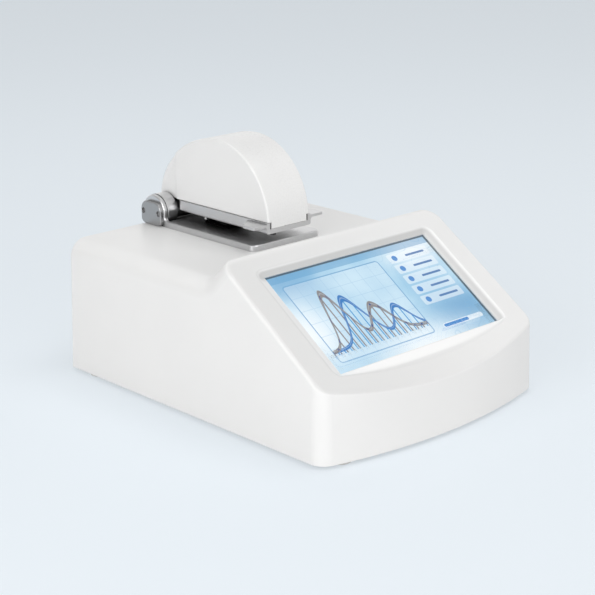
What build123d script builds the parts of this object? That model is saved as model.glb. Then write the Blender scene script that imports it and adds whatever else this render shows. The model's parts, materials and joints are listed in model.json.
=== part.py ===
from build123d import *
import os
from math import acos, cos, radians, sin, tan

# Microvolume spectrophotometer, in millimetres.
# The origin is on the table under the middle of the instrument, +Z is up and the screen faces -Y.

# Housing: a moulded shell with a sloped screen panel in front and a flat top behind
BODY_WIDER_THAN_RECESS = 42.0
HOOD_TO_STAGE = 45.2
STAGE_FROM_BACK = 5.0
SCREEN_HEIGHT_IN_SHELL = 79.6
TOP_ABOVE_SCREEN = 18.5
FOOT_LIFT = 2.5
WALL = 2.6
DRAFT = 1.4
FRONT_BOW = 15.5
FRONT_CORNER_ROUND = 12.0
TOP_SIDE_ROUND = 13.0
BEZEL_ROUND = 3.0
BACK_ROUND = 2.5
BEZEL_TILT = 34.4
BEZEL_WALL = 5.2
RECESS_FROM_FRONT = 14.0
CREST_FROM_RECESS = 11.9
HOOD_BACK_ANGLE = 45.0
HOOD_HOLLOW = 12.5

# Screen: a 7 inch panel behind a touch glass, seen through a recess with sloped walls
SCREEN_WIDTH = 154.2
SCREEN_LENGTH = 85.9
GLASS_SIDE_MARGIN = 5.4
GLASS_END_MARGIN = 7.05
GLASS_THICK = 1.4
PANEL_THICK = 4.5
PANEL_MARGIN = 0.5
RECESS_SIDE_MARGIN = 7.9
RECESS_MARGIN_ABOVE = 6.25
RECESS_MARGIN_BELOW = 2.05
RECESS_BOW = 11.0
RECESS_CORNER = 7.5
RECESS_FOOT_CORNER = 1.5
RECESS_DEPTH = 2.4
LIP_THICK = 0.8
SCREEN_MARGIN = 0.3
DRIVER_STRIP = 8.0
BRACKET_THICK = 1.2
BRACKET_SCREW_FROM_GLASS = 6.5
BRACKET_SCREW_UP = 34.0
BRACKET_WINDOW_MARGIN = 14.0

# Bottom cover, feet and the columns that its screws go into
COVER_THICK = 2.5
COVER_GAP = 0.3
FOOT_RADIUS = 8.0
FOOT_STEM_RADIUS = 5.5
FOOT_SINK = 0.8
FRONT_FOOT_FROM_SIDE = 22.0
BACK_FOOT_FROM_SIDE = 10.0
FOOT_FROM_FRONT = 20.2
FOOT_FROM_BACK = 23.2
COLUMN_RADIUS = 4.5
COLUMN_HEIGHT = 26.0
COLUMN_FROM_SIDE = 12.0
COLUMN_FROM_FRONT = 50.0
COLUMN_FROM_BACK = 8.2
COLUMN_SCREW_LENGTH = 12.0
HEAD_SINK = 1.2
VENT_COUNT = 9
VENT_WIDTH = 2.4
VENT_LENGTH = 34.0
VENT_PITCH = 6.0

# Screws: M3 throughout, with a pan head
SCREW_RADIUS = 1.5
SCREW_HEAD_RADIUS = 2.8
SCREW_HEAD_HEIGHT = 1.8
SCREW_HOLE_GAP = 0.2
THREAD_GAP = 0.02
SCREW_BITE = 6.0

# Stage plate: the flat metal plate on the top, with an ear for the hinge on each side
STAGE_WIDTH = 66.0
STAGE_BEHIND_HINGE = 7.6
STAGE_HEIGHT = 4.4
STAGE_CORNER = 5.0
STAGE_CHAMFER = 0.6
HINGE_POCKET_FLOOR = 1.4
HINGE_POCKET_FRONT = 15.0
SPIGOT_FROM_SIDE = 6.0
STAGE_SPIGOT_FRONT = 8.0
STAGE_SPIGOT_BACK = 16.0
STAGE_SPIGOT_DEPTH = 8.6
SPIGOT_GAP = 0.4
STAGE_SCREW_INSET = 7.0
EAR_THICK = 3.0
EAR_ROUND = 3.0

# Hinge of the arm
HINGE_ABOVE_TOP = 9.9
HINGE_DISC_RADIUS = 12.5
HINGE_PIN_RADIUS = 4.0
HINGE_PIN_REACH = 10.0
RUNNING_GAP = 0.05
WASHER_THICK = 0.3
WASHER_RADIUS = 8.0
SIDE_GAP = 0.15
CAP_THICK = 3.0
CAP_WIDTH = 23.2
CAP_HEIGHT = 17.6
CAP_TOP_ROUND = 7.0
CAP_FOOT_ROUND = 4.0
CAP_CHAMFER = 0.5
SPANNER_HOLE_RADIUS = 2.1
SPANNER_HOLE_SPREAD = 8.8
SPANNER_HOLE_DEPTH = 2.0
DRUM_RADIUS = 13.0
DRUM_LENGTH = 9.0
DRUM_BACK_ANGLE = 56.0
DRUM_FRONT_ANGLE = 216.0
HUB_RADIUS = 8.2

# Arm base: a channel of hat section with a finger wing on each side of its front end
PEDESTAL_FROM_ARM_FRONT = 65.0
PEDESTAL_FROM_HINGE = 48.6
ARM_OVERHANG = 1.7
ARM_GAP = 6.6
ARM_FLOOR = 3.5
ARM_FROM_STAGE_SIDE = 11.7
ARM_WALL = 3.0
ARM_WALL_HEIGHT = 8.2
ARM_NECK_LENGTH = 13.4
ARM_NECK_INSET = 5.0
ARM_EDGE_ROUND = 1.5
ARM_CORNER = 5.0
WING_OVERHANG = 0.7
WING_THICK = 1.9
WING_ABOVE_FLOOR = 1.7
WING_TIP_LENGTH = 12.5
WING_LENGTH = 20.5
WING_FRONT_ROUND = 1.0
WING_BACK_ROUND = 4.0
WING_ROOT_ROUND = 2.0

# Arm cover: a half disc with a long back, moulded as a shell. Its radii are shares of the arm
COVER_FROM_ARM_SIDE = 1.3
COVER_WALL = 2.0
COVER_FRONT_SHARE = 0.4833
COVER_TOP_SHARE = 0.669
COVER_BACK_SHARE = 0.396
COVER_TOP_TURN = 50.0
COVER_AXIS_BELOW_SEAT = 3.1
COVER_SEAT_GAP = 0.2
PLUG_FROM_SIDE = 3.0
COVER_EDGE_ROUND = 1.4
COVER_STEP = 1.5
COVER_STEP_FROM_HINGE = 10.8
COVER_SCREW_INSET = 16.0
COVER_BACK_SCREW_INSET = 9.0
COVER_BOSS_RADIUS = 3.5
COVER_BOSS_RISE = 8.0

# Sample station: the two pedestals and the lift that sets the light path
PATH_LENGTH = 1.0
LOWER_PEDESTAL_RADIUS = 3.0
PEDESTAL_TIP_RADIUS = 2.0
TIP_LENGTH = 0.8
LOWER_PEDESTAL_ABOVE_STAGE = 2.6
PEDESTAL_BLOCK_SIDE = 26.0
PEDESTAL_BLOCK_HEIGHT = 1.6
PEDESTAL_BLOCK_CHAMFER = 0.6
UPPER_PEDESTAL_RADIUS = 5.0
UPPER_BLOCK_FROM_SIDE = 10.3
UPPER_BLOCK_HEIGHT = 2.4
SLEEVE_RISE = 6.0
BUSH_WALL = 2.5
STOP_SCREW_X = 8.4
STOP_SCREW_BEHIND = 7.0
STOP_RADIUS = 1.25
LOCATING_PIN_FROM_SIDE = 4.3
LOCATING_PIN_DROP = 2.2
BUMPER_RADIUS = 2.2
BUMPER_HEIGHT = 1.6
BUMPER_X = -13.0
BUMPER_INSET = 3.0
REST_GAP = 0.3

# Optics frame, spectrometer and lift
FRAME_THICK = 2.5
FRAME_FLANGE = 12.0
FRAME_MARGIN = 3.0
FRAME_WINDOW_HEIGHT = 40.0
MOTOR_SIDE = 28.2
MOTOR_LENGTH = 26.0
MOTOR_BELOW_FRAME = 17.5
MOTOR_FROM_PEDESTAL = 30.0
MOTOR_BORE_DEPTH = 8.0
MOTOR_CORNER = 4.0
LEAD_SCREW_RADIUS = 2.5
LEAD_SCREW_CHAMFER = 0.5
CARRIAGE_THICK = 5.0
CARRIAGE_WIDTH = 16.0
CARRIAGE_BELOW_FRAME = 5.0
NUT_DROP = 3.0
BRIDGE_THICK = 2.0
BRIDGE_GAP = 4.0
SPECTROMETER_FROM_FRAME = 9.5
SPECTROMETER_LENGTH = 66.0
SPECTROMETER_BELOW_MOTOR = 3.0
SPECTROMETER_WALL = 4.0
SPECTROMETER_LID = 3.0
SPECTROMETER_FRONT_FROM_PEDESTAL = 56.0
FIBRE_RADIUS = 1.5
FIBRE_PORT_RADIUS = 4.0
FIBRE_PORT_HEIGHT = 9.0
STANDOFF_RADIUS = 3.2
STANDOFF_HEIGHT = 5.0

# Light source in the arm
LAMP_BLOCK_FROM_COVER = 7.0
LAMP_BLOCK_LENGTH = 32.0
LAMP_BLOCK_HEIGHT = 25.0
LAMP_RADIUS = 5.5
LAMP_LENGTH = 24.0
LAMP_ABOVE_FLOOR = 15.0
LAMP_SOCKET_EDGE = 1.5
LAMP_SOCKET_LENGTH = 6.0
LAMP_BOARD_GAP = 3.5

# Boards in the base
BOARD_THICK = 1.6
MAIN_BOARD_FROM_SCREEN = 2.1
MAIN_BOARD_LENGTH = 80.0
MAIN_BOARD_BACK_FROM_FRONT = 110.0
BOARD_HOLE_INSET = 5.0
CONNECTOR_WIDTH = 8.0
CONNECTOR_LENGTH = 24.0
CONNECTOR_HEIGHT = 6.0
CHIP_SIDE = 14.0
CHIP_HEIGHT = 1.4
HEAT_SINK_BASE = 2.5
FIN_THICK = 1.4
HEAT_SINK_SIDE = 36.0
HEAT_SINK_HEIGHT = 12.0
HEAT_SINK_FINS = 6
SUPPLY_BOARD_WIDTH = 32.0
SUPPLY_BOARD_LENGTH = 84.0
SUPPLY_BOARD_GAP = 3.0
SUPPLY_BOARD_FROM_WALL = 6.4
CAPACITOR_RADIUS = 8.0
CAPACITOR_LENGTH = 30.0

# Back panel: switch, power inlet and data ports in a shallow recess
IO_RECESS_FROM_SWITCH = 13.0
IO_RECESS_HEIGHT = 30.0
IO_RECESS_DEPTH = 3.0
IO_CENTRE_FROM_FLOOR = 30.0
IO_BOARD_LENGTH = 36.0
IO_BOARD_X = (-20.0, 46.0)
PORT_GAP = 0.3
SWITCH_X = -62.0
SWITCH_WIDTH = 19.0
SWITCH_HEIGHT = 13.0
SWITCH_DEPTH = 16.0
SWITCH_FLANGE = 1.4
SWITCH_FLANGE_EDGE = 1.5
ROCKER_WIDTH = 14.0
ROCKER_HEIGHT = 9.6
ROCKER_PIVOT_DEPTH = 2.5
ROCKER_DISH = 1.4
ROCKER_PIN_RADIUS = 1.2
ROCKER_REACH = 4.6
ROCKER_KEEL = 2.4
ROCKER_TURN = 16.0
SWITCH_WELL = 5.8
INLET_X = -32.0
INLET_RADIUS = 5.5
INLET_BORE_RADIUS = 3.2
INLET_PIN_RADIUS = 1.05
INLET_FLANGE_RADIUS = 7.5
INLET_FLANGE = 1.2
INLET_LENGTH = 14.0
INLET_BORE_DEPTH = 10.0
USB_X = (-4.0, 13.0)
USB_WIDTH = 14.5
USB_HEIGHT = 7.0
USB_DEPTH = 17.0
USB_WALL = 0.5
DEVICE_PORT_X = 29.0
DEVICE_PORT_WIDTH = 12.0
DEVICE_PORT_HEIGHT = 11.0
HOST_TONGUE = (10.9, 2.0)
DEVICE_TONGUE = (6.0, 3.3)

# Places that follow from the sizes above
GLASS_WIDTH = SCREEN_WIDTH + 2 * GLASS_SIDE_MARGIN
GLASS_LENGTH = SCREEN_LENGTH + 2 * GLASS_END_MARGIN
RECESS_WIDTH = SCREEN_WIDTH + 2 * RECESS_SIDE_MARGIN
RECESS_ABOVE = SCREEN_LENGTH / 2 + RECESS_MARGIN_ABOVE
RECESS_BELOW = SCREEN_LENGTH / 2 + RECESS_MARGIN_BELOW
SCREEN_BACK_FROM_FRONT = RECESS_FROM_FRONT + (RECESS_BELOW + RECESS_BOW) * cos(radians(BEZEL_TILT))
CREST_FROM_SCREEN = RECESS_ABOVE * cos(radians(BEZEL_TILT)) + CREST_FROM_RECESS
ARM_LENGTH = PEDESTAL_FROM_ARM_FRONT + PEDESTAL_FROM_HINGE
STAGE_LENGTH = ARM_LENGTH - ARM_OVERHANG + STAGE_BEHIND_HINGE
FRONT_TO_STAGE = SCREEN_BACK_FROM_FRONT + CREST_FROM_SCREEN + HOOD_TO_STAGE
BODY_WIDTH = RECESS_WIDTH + BODY_WIDER_THAN_RECESS
BODY_DEPTH = FRONT_TO_STAGE + STAGE_LENGTH + STAGE_FROM_BACK
FLOOR_Z = FOOT_LIFT
TOP_Z = FLOOR_Z + SCREEN_HEIGHT_IN_SHELL + TOP_ABOVE_SCREEN
FRONT_Y = -BODY_DEPTH / 2
BACK_Y = BODY_DEPTH / 2
SCREEN_Y = FRONT_Y + SCREEN_BACK_FROM_FRONT
SCREEN_Z = FLOOR_Z + SCREEN_HEIGHT_IN_SHELL
CREST_Y = SCREEN_Y + CREST_FROM_SCREEN
CREST_Z = SCREEN_Z + (CREST_Y - SCREEN_Y) * tan(radians(BEZEL_TILT))
INSIDE_Z = FLOOR_Z + COVER_THICK
STAGE_BACK = BACK_Y - STAGE_FROM_BACK
STAGE_FRONT = STAGE_BACK - STAGE_LENGTH
HINGE_Y = STAGE_BACK - STAGE_BEHIND_HINGE
HINGE_Z = TOP_Z + HINGE_ABOVE_TOP
STAGE_Z = TOP_Z + STAGE_HEIGHT
EAR_OUT = STAGE_WIDTH / 2
EAR_IN = EAR_OUT - EAR_THICK
DRUM_OUT = EAR_IN - WASHER_THICK - SIDE_GAP
DRUM_IN = DRUM_OUT - DRUM_LENGTH
ARM_FRONT = HINGE_Y - ARM_LENGTH
ARM_WIDTH = STAGE_WIDTH - 2 * ARM_FROM_STAGE_SIDE
ARM_Z = STAGE_Z + ARM_GAP
ARM_FLOOR_TOP = ARM_Z + ARM_FLOOR
ARM_WALL_TOP = ARM_Z + ARM_WALL_HEIGHT
WING_Z = ARM_FLOOR_TOP + WING_ABOVE_FLOOR
COVER_SEAT_Z = ARM_WALL_TOP + COVER_SEAT_GAP
COVER_AXIS_Z = COVER_SEAT_Z - COVER_AXIS_BELOW_SEAT
COVER_WIDTH = ARM_WIDTH - 2 * COVER_FROM_ARM_SIDE
COVER_PLUG_WIDTH = COVER_WIDTH - 2 * PLUG_FROM_SIDE
COVER_FRONT_RADIUS = ARM_LENGTH * COVER_FRONT_SHARE
COVER_TOP_RADIUS = ARM_LENGTH * COVER_TOP_SHARE
COVER_BACK_RADIUS = ARM_LENGTH * COVER_BACK_SHARE
PEDESTAL_Y = HINGE_Y - PEDESTAL_FROM_HINGE
PEDESTAL_TOP_Z = STAGE_Z + LOWER_PEDESTAL_ABOVE_STAGE
FRAME_TOP_Z = TOP_Z - STAGE_SPIGOT_DEPTH
FRAME_UNDER_Z = FRAME_TOP_Z - FRAME_THICK
FRAME_FROM_WALL = SUPPLY_BOARD_FROM_WALL + SUPPLY_BOARD_WIDTH + SUPPLY_BOARD_GAP + FRAME_FLANGE
FRAME_WIDTH = BODY_WIDTH - 2 * (WALL + FRAME_FROM_WALL)
SPECTROMETER_WIDTH = FRAME_WIDTH - 2 * (FRAME_THICK + SPECTROMETER_FROM_FRAME)
FRAME_FRONT = STAGE_FRONT + STAGE_SPIGOT_FRONT - FRAME_MARGIN
FRAME_BACK = STAGE_BACK - STAGE_SPIGOT_BACK + FRAME_MARGIN
MOTOR_Y = PEDESTAL_Y - MOTOR_FROM_PEDESTAL
MOTOR_TOP_Z = FRAME_UNDER_Z - MOTOR_BELOW_FRAME
CARRIAGE_TOP_Z = FRAME_UNDER_Z - CARRIAGE_BELOW_FRAME
IO_Z = FLOOR_Z + IO_CENTRE_FROM_FLOOR
IO_Y = BACK_Y - tan(radians(DRAFT)) * IO_CENTRE_FROM_FLOOR - IO_RECESS_DEPTH
IO_RECESS_WIDTH = 2 * (IO_RECESS_FROM_SWITCH - SWITCH_X)
TALL = BODY_DEPTH
THREAD_RADIUS = SCREW_RADIUS + THREAD_GAP
SPIGOT_WIDTH = STAGE_WIDTH - 2 * SPIGOT_FROM_SIDE
SPIGOT_FRONT = STAGE_FRONT + STAGE_SPIGOT_FRONT
SPIGOT_BACK = STAGE_BACK - STAGE_SPIGOT_BACK

BEZEL = Plane(
    origin=(0, SCREEN_Y, SCREEN_Z),
    x_dir=(1, 0, 0),
    z_dir=(0, -sin(radians(BEZEL_TILT)), cos(radians(BEZEL_TILT))),
)


def block(x, y, z):
    """A box between the two values of each pair."""
    size = (x[1] - x[0], y[1] - y[0], z[1] - z[0])
    return Pos((x[0] + x[1]) / 2, (y[0] + y[1]) / 2, (z[0] + z[1]) / 2) * Box(*size)


def post(radius, z, x=0.0, y=0.0):
    """An upright cylinder between the two heights."""
    return Pos(x, y, (z[0] + z[1]) / 2) * Cylinder(radius, z[1] - z[0])


def axle(radius, x, y, z):
    """A cylinder along X between the two values of x."""
    return Pos((x[0] + x[1]) / 2, y, z) * Rot(0, 90, 0) * Cylinder(radius, x[1] - x[0])


def spindle(radius, y, x, z):
    """A cylinder along Y between the two values of y."""
    return Pos(x, (y[0] + y[1]) / 2, z) * Rot(90, 0, 0) * Cylinder(radius, y[1] - y[0])


def side_slab(sketch, x):
    """A sketch drawn in Y and Z, made solid between the two values of x."""
    return Pos(x[0], 0, 0) * extrude(Plane.YZ * sketch, amount=x[1] - x[0])


def joined(pieces):
    """One body fused from several."""
    whole = pieces[0]
    for piece in pieces[1:]:
        whole += piece
    return whole


def cut_all(body, tools):
    """The body with every tool taken out of it."""
    for tool in tools:
        body -= tool
    return body


def group(pieces):
    """Separate solids that share one node."""
    return Compound(children=[solid for piece in pieces for solid in piece.solids()])


def mirrored_pair(piece):
    """A piece and its mirror image across the middle plane."""
    return group([piece, mirror(piece, about=Plane.YZ)])


def screw(x, y, z, length, up=True):
    """A pan head screw whose head rests on height z. The shaft points up, or down."""
    way = 1 if up else -1
    shaft = post(SCREW_RADIUS, sorted((z, z + way * length)), x, y)
    head = post(SCREW_HEAD_RADIUS, sorted((z - way * SCREW_HEAD_HEIGHT, z)), x, y)
    return shaft + head


def corners(x, y, half_x, half_y):
    """The four corners of a rectangle."""
    return [(x + i * half_x, y + j * half_y) for i in (-1, 1) for j in (-1, 1)]


def plan(inset):
    """The shell's outline at its foot, drawn in by an inset: straight sides and a bowed front."""
    side = BODY_WIDTH / 2 - inset
    corner = FRONT_Y + FRONT_BOW + inset
    back = BACK_Y - inset
    outline = make_face(
        [
            ThreePointArc((-side, corner), (0, FRONT_Y + inset), (side, corner)),
            Line((side, corner), (side, back)),
            Line((side, back), (-side, back)),
            Line((-side, back), (-side, corner)),
        ]
    )
    front = outline.vertices().sort_by(Axis.Y)[:2]
    return fillet(front, FRONT_CORNER_ROUND - inset)


def profile(inset, bezel_inset):
    """The shell's side view: screen panel, crest, hollow behind the hood and flat top."""
    tilt, fall = radians(BEZEL_TILT), radians(HOOD_BACK_ANGLE)
    reach = BODY_DEPTH / 2 + WALL
    panel = SCREEN_Z - SCREEN_Y * tan(tilt) - bezel_inset / cos(tilt)
    slope = CREST_Z + CREST_Y * tan(fall) - inset / cos(fall)
    crest = (slope - panel) / (tan(tilt) + tan(fall))
    top = TOP_Z - inset
    foot = (slope - top) / tan(fall)
    outline = Polyline(
        (-reach, FLOOR_Z),
        (-reach, panel - reach * tan(tilt)),
        (crest, panel + crest * tan(tilt)),
        (foot, top),
        (reach, top),
        (reach, FLOOR_Z),
        close=True,
    )
    side = make_face(outline)
    hollow = side.vertices().sort_by_distance((foot, top, 0))[0]
    return fillet(hollow, HOOD_HOLLOW + inset)


def body_form(inset, bezel_inset):
    """The shell as a solid block, drawn in by an inset, with its two top side edges rounded."""
    walls = Pos(0, 0, FLOOR_Z) * extrude(plan(inset), amount=TALL, taper=DRAFT)
    slab = side_slab(profile(inset, bezel_inset), (-BODY_WIDTH, BODY_WIDTH))
    form = walls & slab
    edges = form.edges().filter_by(
        lambda e: abs(e.center().X) > BODY_WIDTH / 4
        and e.center().Z > TOP_Z - inset - 1
        and e.center().Y > CREST_Y
    )
    return fillet(edges, TOP_SIDE_ROUND - inset)


def outer_form():
    """The shell's outside, with the panel's rim and the back edges rounded."""
    form = body_form(0, 0)
    panel = form.faces().sort_by(lambda f: f.normal_at().dot(BEZEL.z_dir))[-1]
    form = fillet(panel.outer_wire().edges(), BEZEL_ROUND)
    back = form.faces().sort_by(lambda f: f.normal_at().Y)[-1]
    edges = back.outer_wire().edges().filter_by(lambda e: e.center().Z > FLOOR_Z + 1)
    return fillet(edges, BACK_ROUND)


GLASS_DEPTH = RECESS_DEPTH + LIP_THICK
PANEL_DEPTH = GLASS_DEPTH + GLASS_THICK
BRACKET_DEPTH = PANEL_DEPTH + PANEL_THICK
BRACKET_SCREW_X = GLASS_WIDTH / 2 + BRACKET_SCREW_FROM_GLASS
BRACKET_SCREWS = corners(0, 0, BRACKET_SCREW_X, BRACKET_SCREW_UP)
COLUMN_X = BODY_WIDTH / 2 - COLUMN_FROM_SIDE
COLUMN_ROWS = (FRONT_Y + COLUMN_FROM_FRONT, 0.0, BACK_Y - COLUMN_FROM_BACK)
COLUMNS = [(side * COLUMN_X, y) for side in (-1, 1) for y in COLUMN_ROWS]
COLUMN_TOP_Z = INSIDE_Z + COLUMN_HEIGHT
DEVICE_PORT_Z = IO_Z + (DEVICE_PORT_HEIGHT - USB_HEIGHT) / 2


def recess():
    """The sloped hollow round the screen, which opens towards the bowed front."""
    half, low = RECESS_WIDTH / 2, -RECESS_BELOW
    mouth = make_face(
        [
            ThreePointArc((-half, low), (0, low - RECESS_BOW), (half, low)),
            Line((half, low), (half, RECESS_ABOVE)),
            Line((half, RECESS_ABOVE), (-half, RECESS_ABOVE)),
            Line((-half, RECESS_ABOVE), (-half, low)),
        ]
    )
    mouth = fillet(mouth.vertices(), RECESS_CORNER)
    foot = Rectangle(SCREEN_WIDTH + 4 * SCREEN_MARGIN, SCREEN_LENGTH + 4 * SCREEN_MARGIN)
    foot = fillet(foot.vertices(), RECESS_FOOT_CORNER)
    hollow = loft([mouth.face(), (Pos(0, 0, -RECESS_DEPTH) * foot).face()], ruled=True)
    return BEZEL * (hollow + extrude(mouth, amount=BEZEL_ROUND))


def in_panel(width, length, near, far, x=0.0, up=0.0):
    """A box that lies in the panel, between two depths below its face."""
    return BEZEL * Pos(x, up, -(near + far) / 2) * Box(width, length, far - near)


def panel_rod(radius, near, far, x, up):
    """A cylinder square to the panel, between two depths below its face."""
    return BEZEL * Pos(x, up, -(near + far) / 2) * Cylinder(radius, far - near)


def centred(x, half_x, y, z, half_z):
    """A box centred on x and z, between two values of y."""
    return block((x - half_x, x + half_x), y, (z - half_z, z + half_z))


def back_holes():
    """The openings in the back wall, each a gap larger than what fills it."""
    y = (IO_Y - WALL - 1, IO_Y + 1)
    switch = centred(
        SWITCH_X, SWITCH_WIDTH / 2 + PORT_GAP, y, IO_Z, SWITCH_HEIGHT / 2 + PORT_GAP
    )
    device = centred(
        DEVICE_PORT_X,
        DEVICE_PORT_WIDTH / 2 + PORT_GAP,
        y,
        DEVICE_PORT_Z,
        DEVICE_PORT_HEIGHT / 2 + PORT_GAP,
    )
    ports = [
        centred(x, USB_WIDTH / 2 + PORT_GAP, y, IO_Z, USB_HEIGHT / 2 + PORT_GAP) for x in USB_X
    ]
    return [switch, device, spindle(INLET_RADIUS + PORT_GAP, y, INLET_X, IO_Z), *ports]


def top_housing():
    """The moulded shell, with the screen recess, stage opening, screw columns and back recess."""
    outside = body_form(0, 0)
    columns = []
    for x, y in COLUMNS:
        wall = BODY_WIDTH / 2 if x > 0 else -BODY_WIDTH / 2
        z = (INSIDE_Z, COLUMN_TOP_Z)
        columns.append(post(COLUMN_RADIUS, z, x, y))
        columns.append(block(sorted((x, wall)), (y - WALL / 2, y + WALL / 2), z))
    back_pad = block(
        (-IO_RECESS_WIDTH / 2 - WALL, IO_RECESS_WIDTH / 2 + WALL),
        (IO_Y - WALL, BACK_Y),
        (INSIDE_Z, IO_Z + IO_RECESS_HEIGHT / 2 + WALL),
    )
    bosses = [
        panel_rod(COLUMN_RADIUS, BEZEL_WALL - 1, BRACKET_DEPTH, x, up) for x, up in BRACKET_SCREWS
    ]
    shell = outer_form() - body_form(WALL, BEZEL_WALL)
    shell += joined([*columns, back_pad]) & outside
    shell = joined([shell, *bosses])
    half = SPIGOT_WIDTH / 2 + SPIGOT_GAP
    stage_opening = block(
        (-half, half),
        (SPIGOT_FRONT - SPIGOT_GAP, SPIGOT_BACK + SPIGOT_GAP),
        (TOP_Z - 2 * WALL, TOP_Z + WALL),
    )
    io_recess = centred(
        0, IO_RECESS_WIDTH / 2, (IO_Y, BACK_Y + WALL), IO_Z, IO_RECESS_HEIGHT / 2
    )
    margin = 2 * SCREEN_MARGIN
    cuts = [
        recess(),
        in_panel(SCREEN_WIDTH + margin, SCREEN_LENGTH + margin, 0, BEZEL_WALL + 1),
        in_panel(GLASS_WIDTH + margin, GLASS_LENGTH + margin, GLASS_DEPTH, BRACKET_DEPTH),
        stage_opening,
        io_recess,
        *back_holes(),
    ]
    cuts += [post(THREAD_RADIUS, (0, COLUMN_TOP_Z - WALL), x, y) for x, y in COLUMNS]
    cuts += [
        panel_rod(THREAD_RADIUS, BRACKET_DEPTH - SCREW_BITE, BRACKET_DEPTH + 1, x, up)
        for x, up in BRACKET_SCREWS
    ]
    return cut_all(shell, cuts)


FEET = [
    (side * (BODY_WIDTH / 2 - from_side), y)
    for side in (-1, 1)
    for from_side, y in (
        (FRONT_FOOT_FROM_SIDE, FRONT_Y + FOOT_FROM_FRONT),
        (BACK_FOOT_FROM_SIDE, BACK_Y - FOOT_FROM_BACK),
    )
]
BOARD_Z = INSIDE_Z + STANDOFF_HEIGHT
MAIN_BOARD_WIDTH = SCREEN_WIDTH - 2 * MAIN_BOARD_FROM_SCREEN
SPECTROMETER_TOP_Z = MOTOR_TOP_Z - MOTOR_LENGTH - SPECTROMETER_BELOW_MOTOR - SPECTROMETER_LID
MAIN_BOARD_Y = FRONT_Y + MAIN_BOARD_BACK_FROM_FRONT - MAIN_BOARD_LENGTH / 2
MAIN_BOARD_HOLES = corners(
    0,
    MAIN_BOARD_Y,
    MAIN_BOARD_WIDTH / 2 - BOARD_HOLE_INSET,
    MAIN_BOARD_LENGTH / 2 - BOARD_HOLE_INSET,
)
FRAME_MIDDLE = (FRAME_FRONT + FRAME_BACK) / 2
FRAME_FEET = corners(
    0,
    FRAME_MIDDLE,
    (FRAME_WIDTH + FRAME_FLANGE) / 2,
    (FRAME_BACK - FRAME_FRONT) / 2 - FRAME_FLANGE,
)
SPECTROMETER_Y = PEDESTAL_Y - SPECTROMETER_FRONT_FROM_PEDESTAL + SPECTROMETER_LENGTH / 2
SPECTROMETER_FEET = corners(
    0,
    SPECTROMETER_Y,
    SPECTROMETER_WIDTH / 2 - 2 * SPECTROMETER_WALL,
    SPECTROMETER_LENGTH / 2 - 2 * SPECTROMETER_WALL,
)
SUPPLY_X = -(FRAME_WIDTH / 2 + FRAME_FLANGE + SUPPLY_BOARD_GAP + SUPPLY_BOARD_WIDTH / 2)
SUPPLY_HOLES = corners(
    SUPPLY_X,
    FRAME_MIDDLE,
    SUPPLY_BOARD_WIDTH / 2 - BOARD_HOLE_INSET,
    SUPPLY_BOARD_LENGTH / 2 - BOARD_HOLE_INSET,
)
IO_BOARD_TOP = IO_Z - USB_HEIGHT / 2
IO_BOARD_Z = IO_BOARD_TOP - BOARD_THICK
IO_BOARD_BACK = IO_Y - WALL - PORT_GAP
IO_BOARD_HOLES = corners(
    sum(IO_BOARD_X) / 2,
    IO_BOARD_BACK - IO_BOARD_LENGTH / 2,
    (IO_BOARD_X[1] - IO_BOARD_X[0]) / 2 - BOARD_HOLE_INSET,
    IO_BOARD_LENGTH / 2 - BOARD_HOLE_INSET,
)
LOW_STANDOFFS = MAIN_BOARD_HOLES + FRAME_FEET + SPECTROMETER_FEET + SUPPLY_HOLES


def bottom_cover():
    """The plate that closes the shell, with standoffs, foot pockets, vent slots and screw holes."""
    plate = Pos(0, 0, FLOOR_Z) * extrude(plan(WALL + COVER_GAP), amount=COVER_THICK, taper=DRAFT)
    cover = joined(
        [
            plate,
            *[post(STANDOFF_RADIUS, (INSIDE_Z - 1, BOARD_Z), x, y) for x, y in LOW_STANDOFFS],
            *[post(STANDOFF_RADIUS, (INSIDE_Z - 1, IO_BOARD_Z), x, y) for x, y in IO_BOARD_HOLES],
        ]
    )
    slots = [
        block(
            (x - VENT_WIDTH / 2, x + VENT_WIDTH / 2),
            (MAIN_BOARD_Y - VENT_LENGTH / 2, MAIN_BOARD_Y + VENT_LENGTH / 2),
            (0, INSIDE_Z + 1),
        )
        for x in [VENT_PITCH * (i - (VENT_COUNT - 1) / 2) for i in range(VENT_COUNT)]
    ]
    pockets = [
        post(FOOT_STEM_RADIUS + COVER_GAP, (0, FLOOR_Z + FOOT_SINK), x, y) for x, y in FEET
    ]
    holes = [post(SCREW_RADIUS + SCREW_HOLE_GAP, (0, INSIDE_Z + 1), x, y) for x, y in COLUMNS]
    sinks = [
        post(SCREW_HEAD_RADIUS + COVER_GAP, (0, FLOOR_Z + HEAD_SINK), x, y) for x, y in COLUMNS
    ]
    threads = [post(THREAD_RADIUS, (BOARD_Z - SCREW_BITE, BOARD_Z + 1), x, y) for x, y in LOW_STANDOFFS]
    threads += [
        post(THREAD_RADIUS, (IO_BOARD_Z - SCREW_BITE, IO_BOARD_Z + 1), x, y)
        for x, y in IO_BOARD_HOLES
    ]
    return cut_all(cover, slots + pockets + holes + sinks + threads)


def rubber_feet():
    """Four round feet, whose stems are pressed into pockets of the bottom cover."""
    feet = []
    for x, y in FEET:
        tread = post(FOOT_RADIUS, (0, FLOOR_Z), x, y)
        tread = fillet(tread.edges().group_by(Axis.Z)[0], FOOT_SINK)
        feet.append(tread + post(FOOT_STEM_RADIUS, (0, FLOOR_Z + FOOT_SINK), x, y))
    return group(feet)


def housing_screws():
    """Screws from below through the bottom cover into the shell's columns."""
    return group([screw(x, y, FLOOR_Z + HEAD_SINK, COLUMN_SCREW_LENGTH) for x, y in COLUMNS])


def touch_glass():
    """The touch glass under the recess lip."""
    return in_panel(GLASS_WIDTH, GLASS_LENGTH, GLASS_DEPTH, PANEL_DEPTH)


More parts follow.
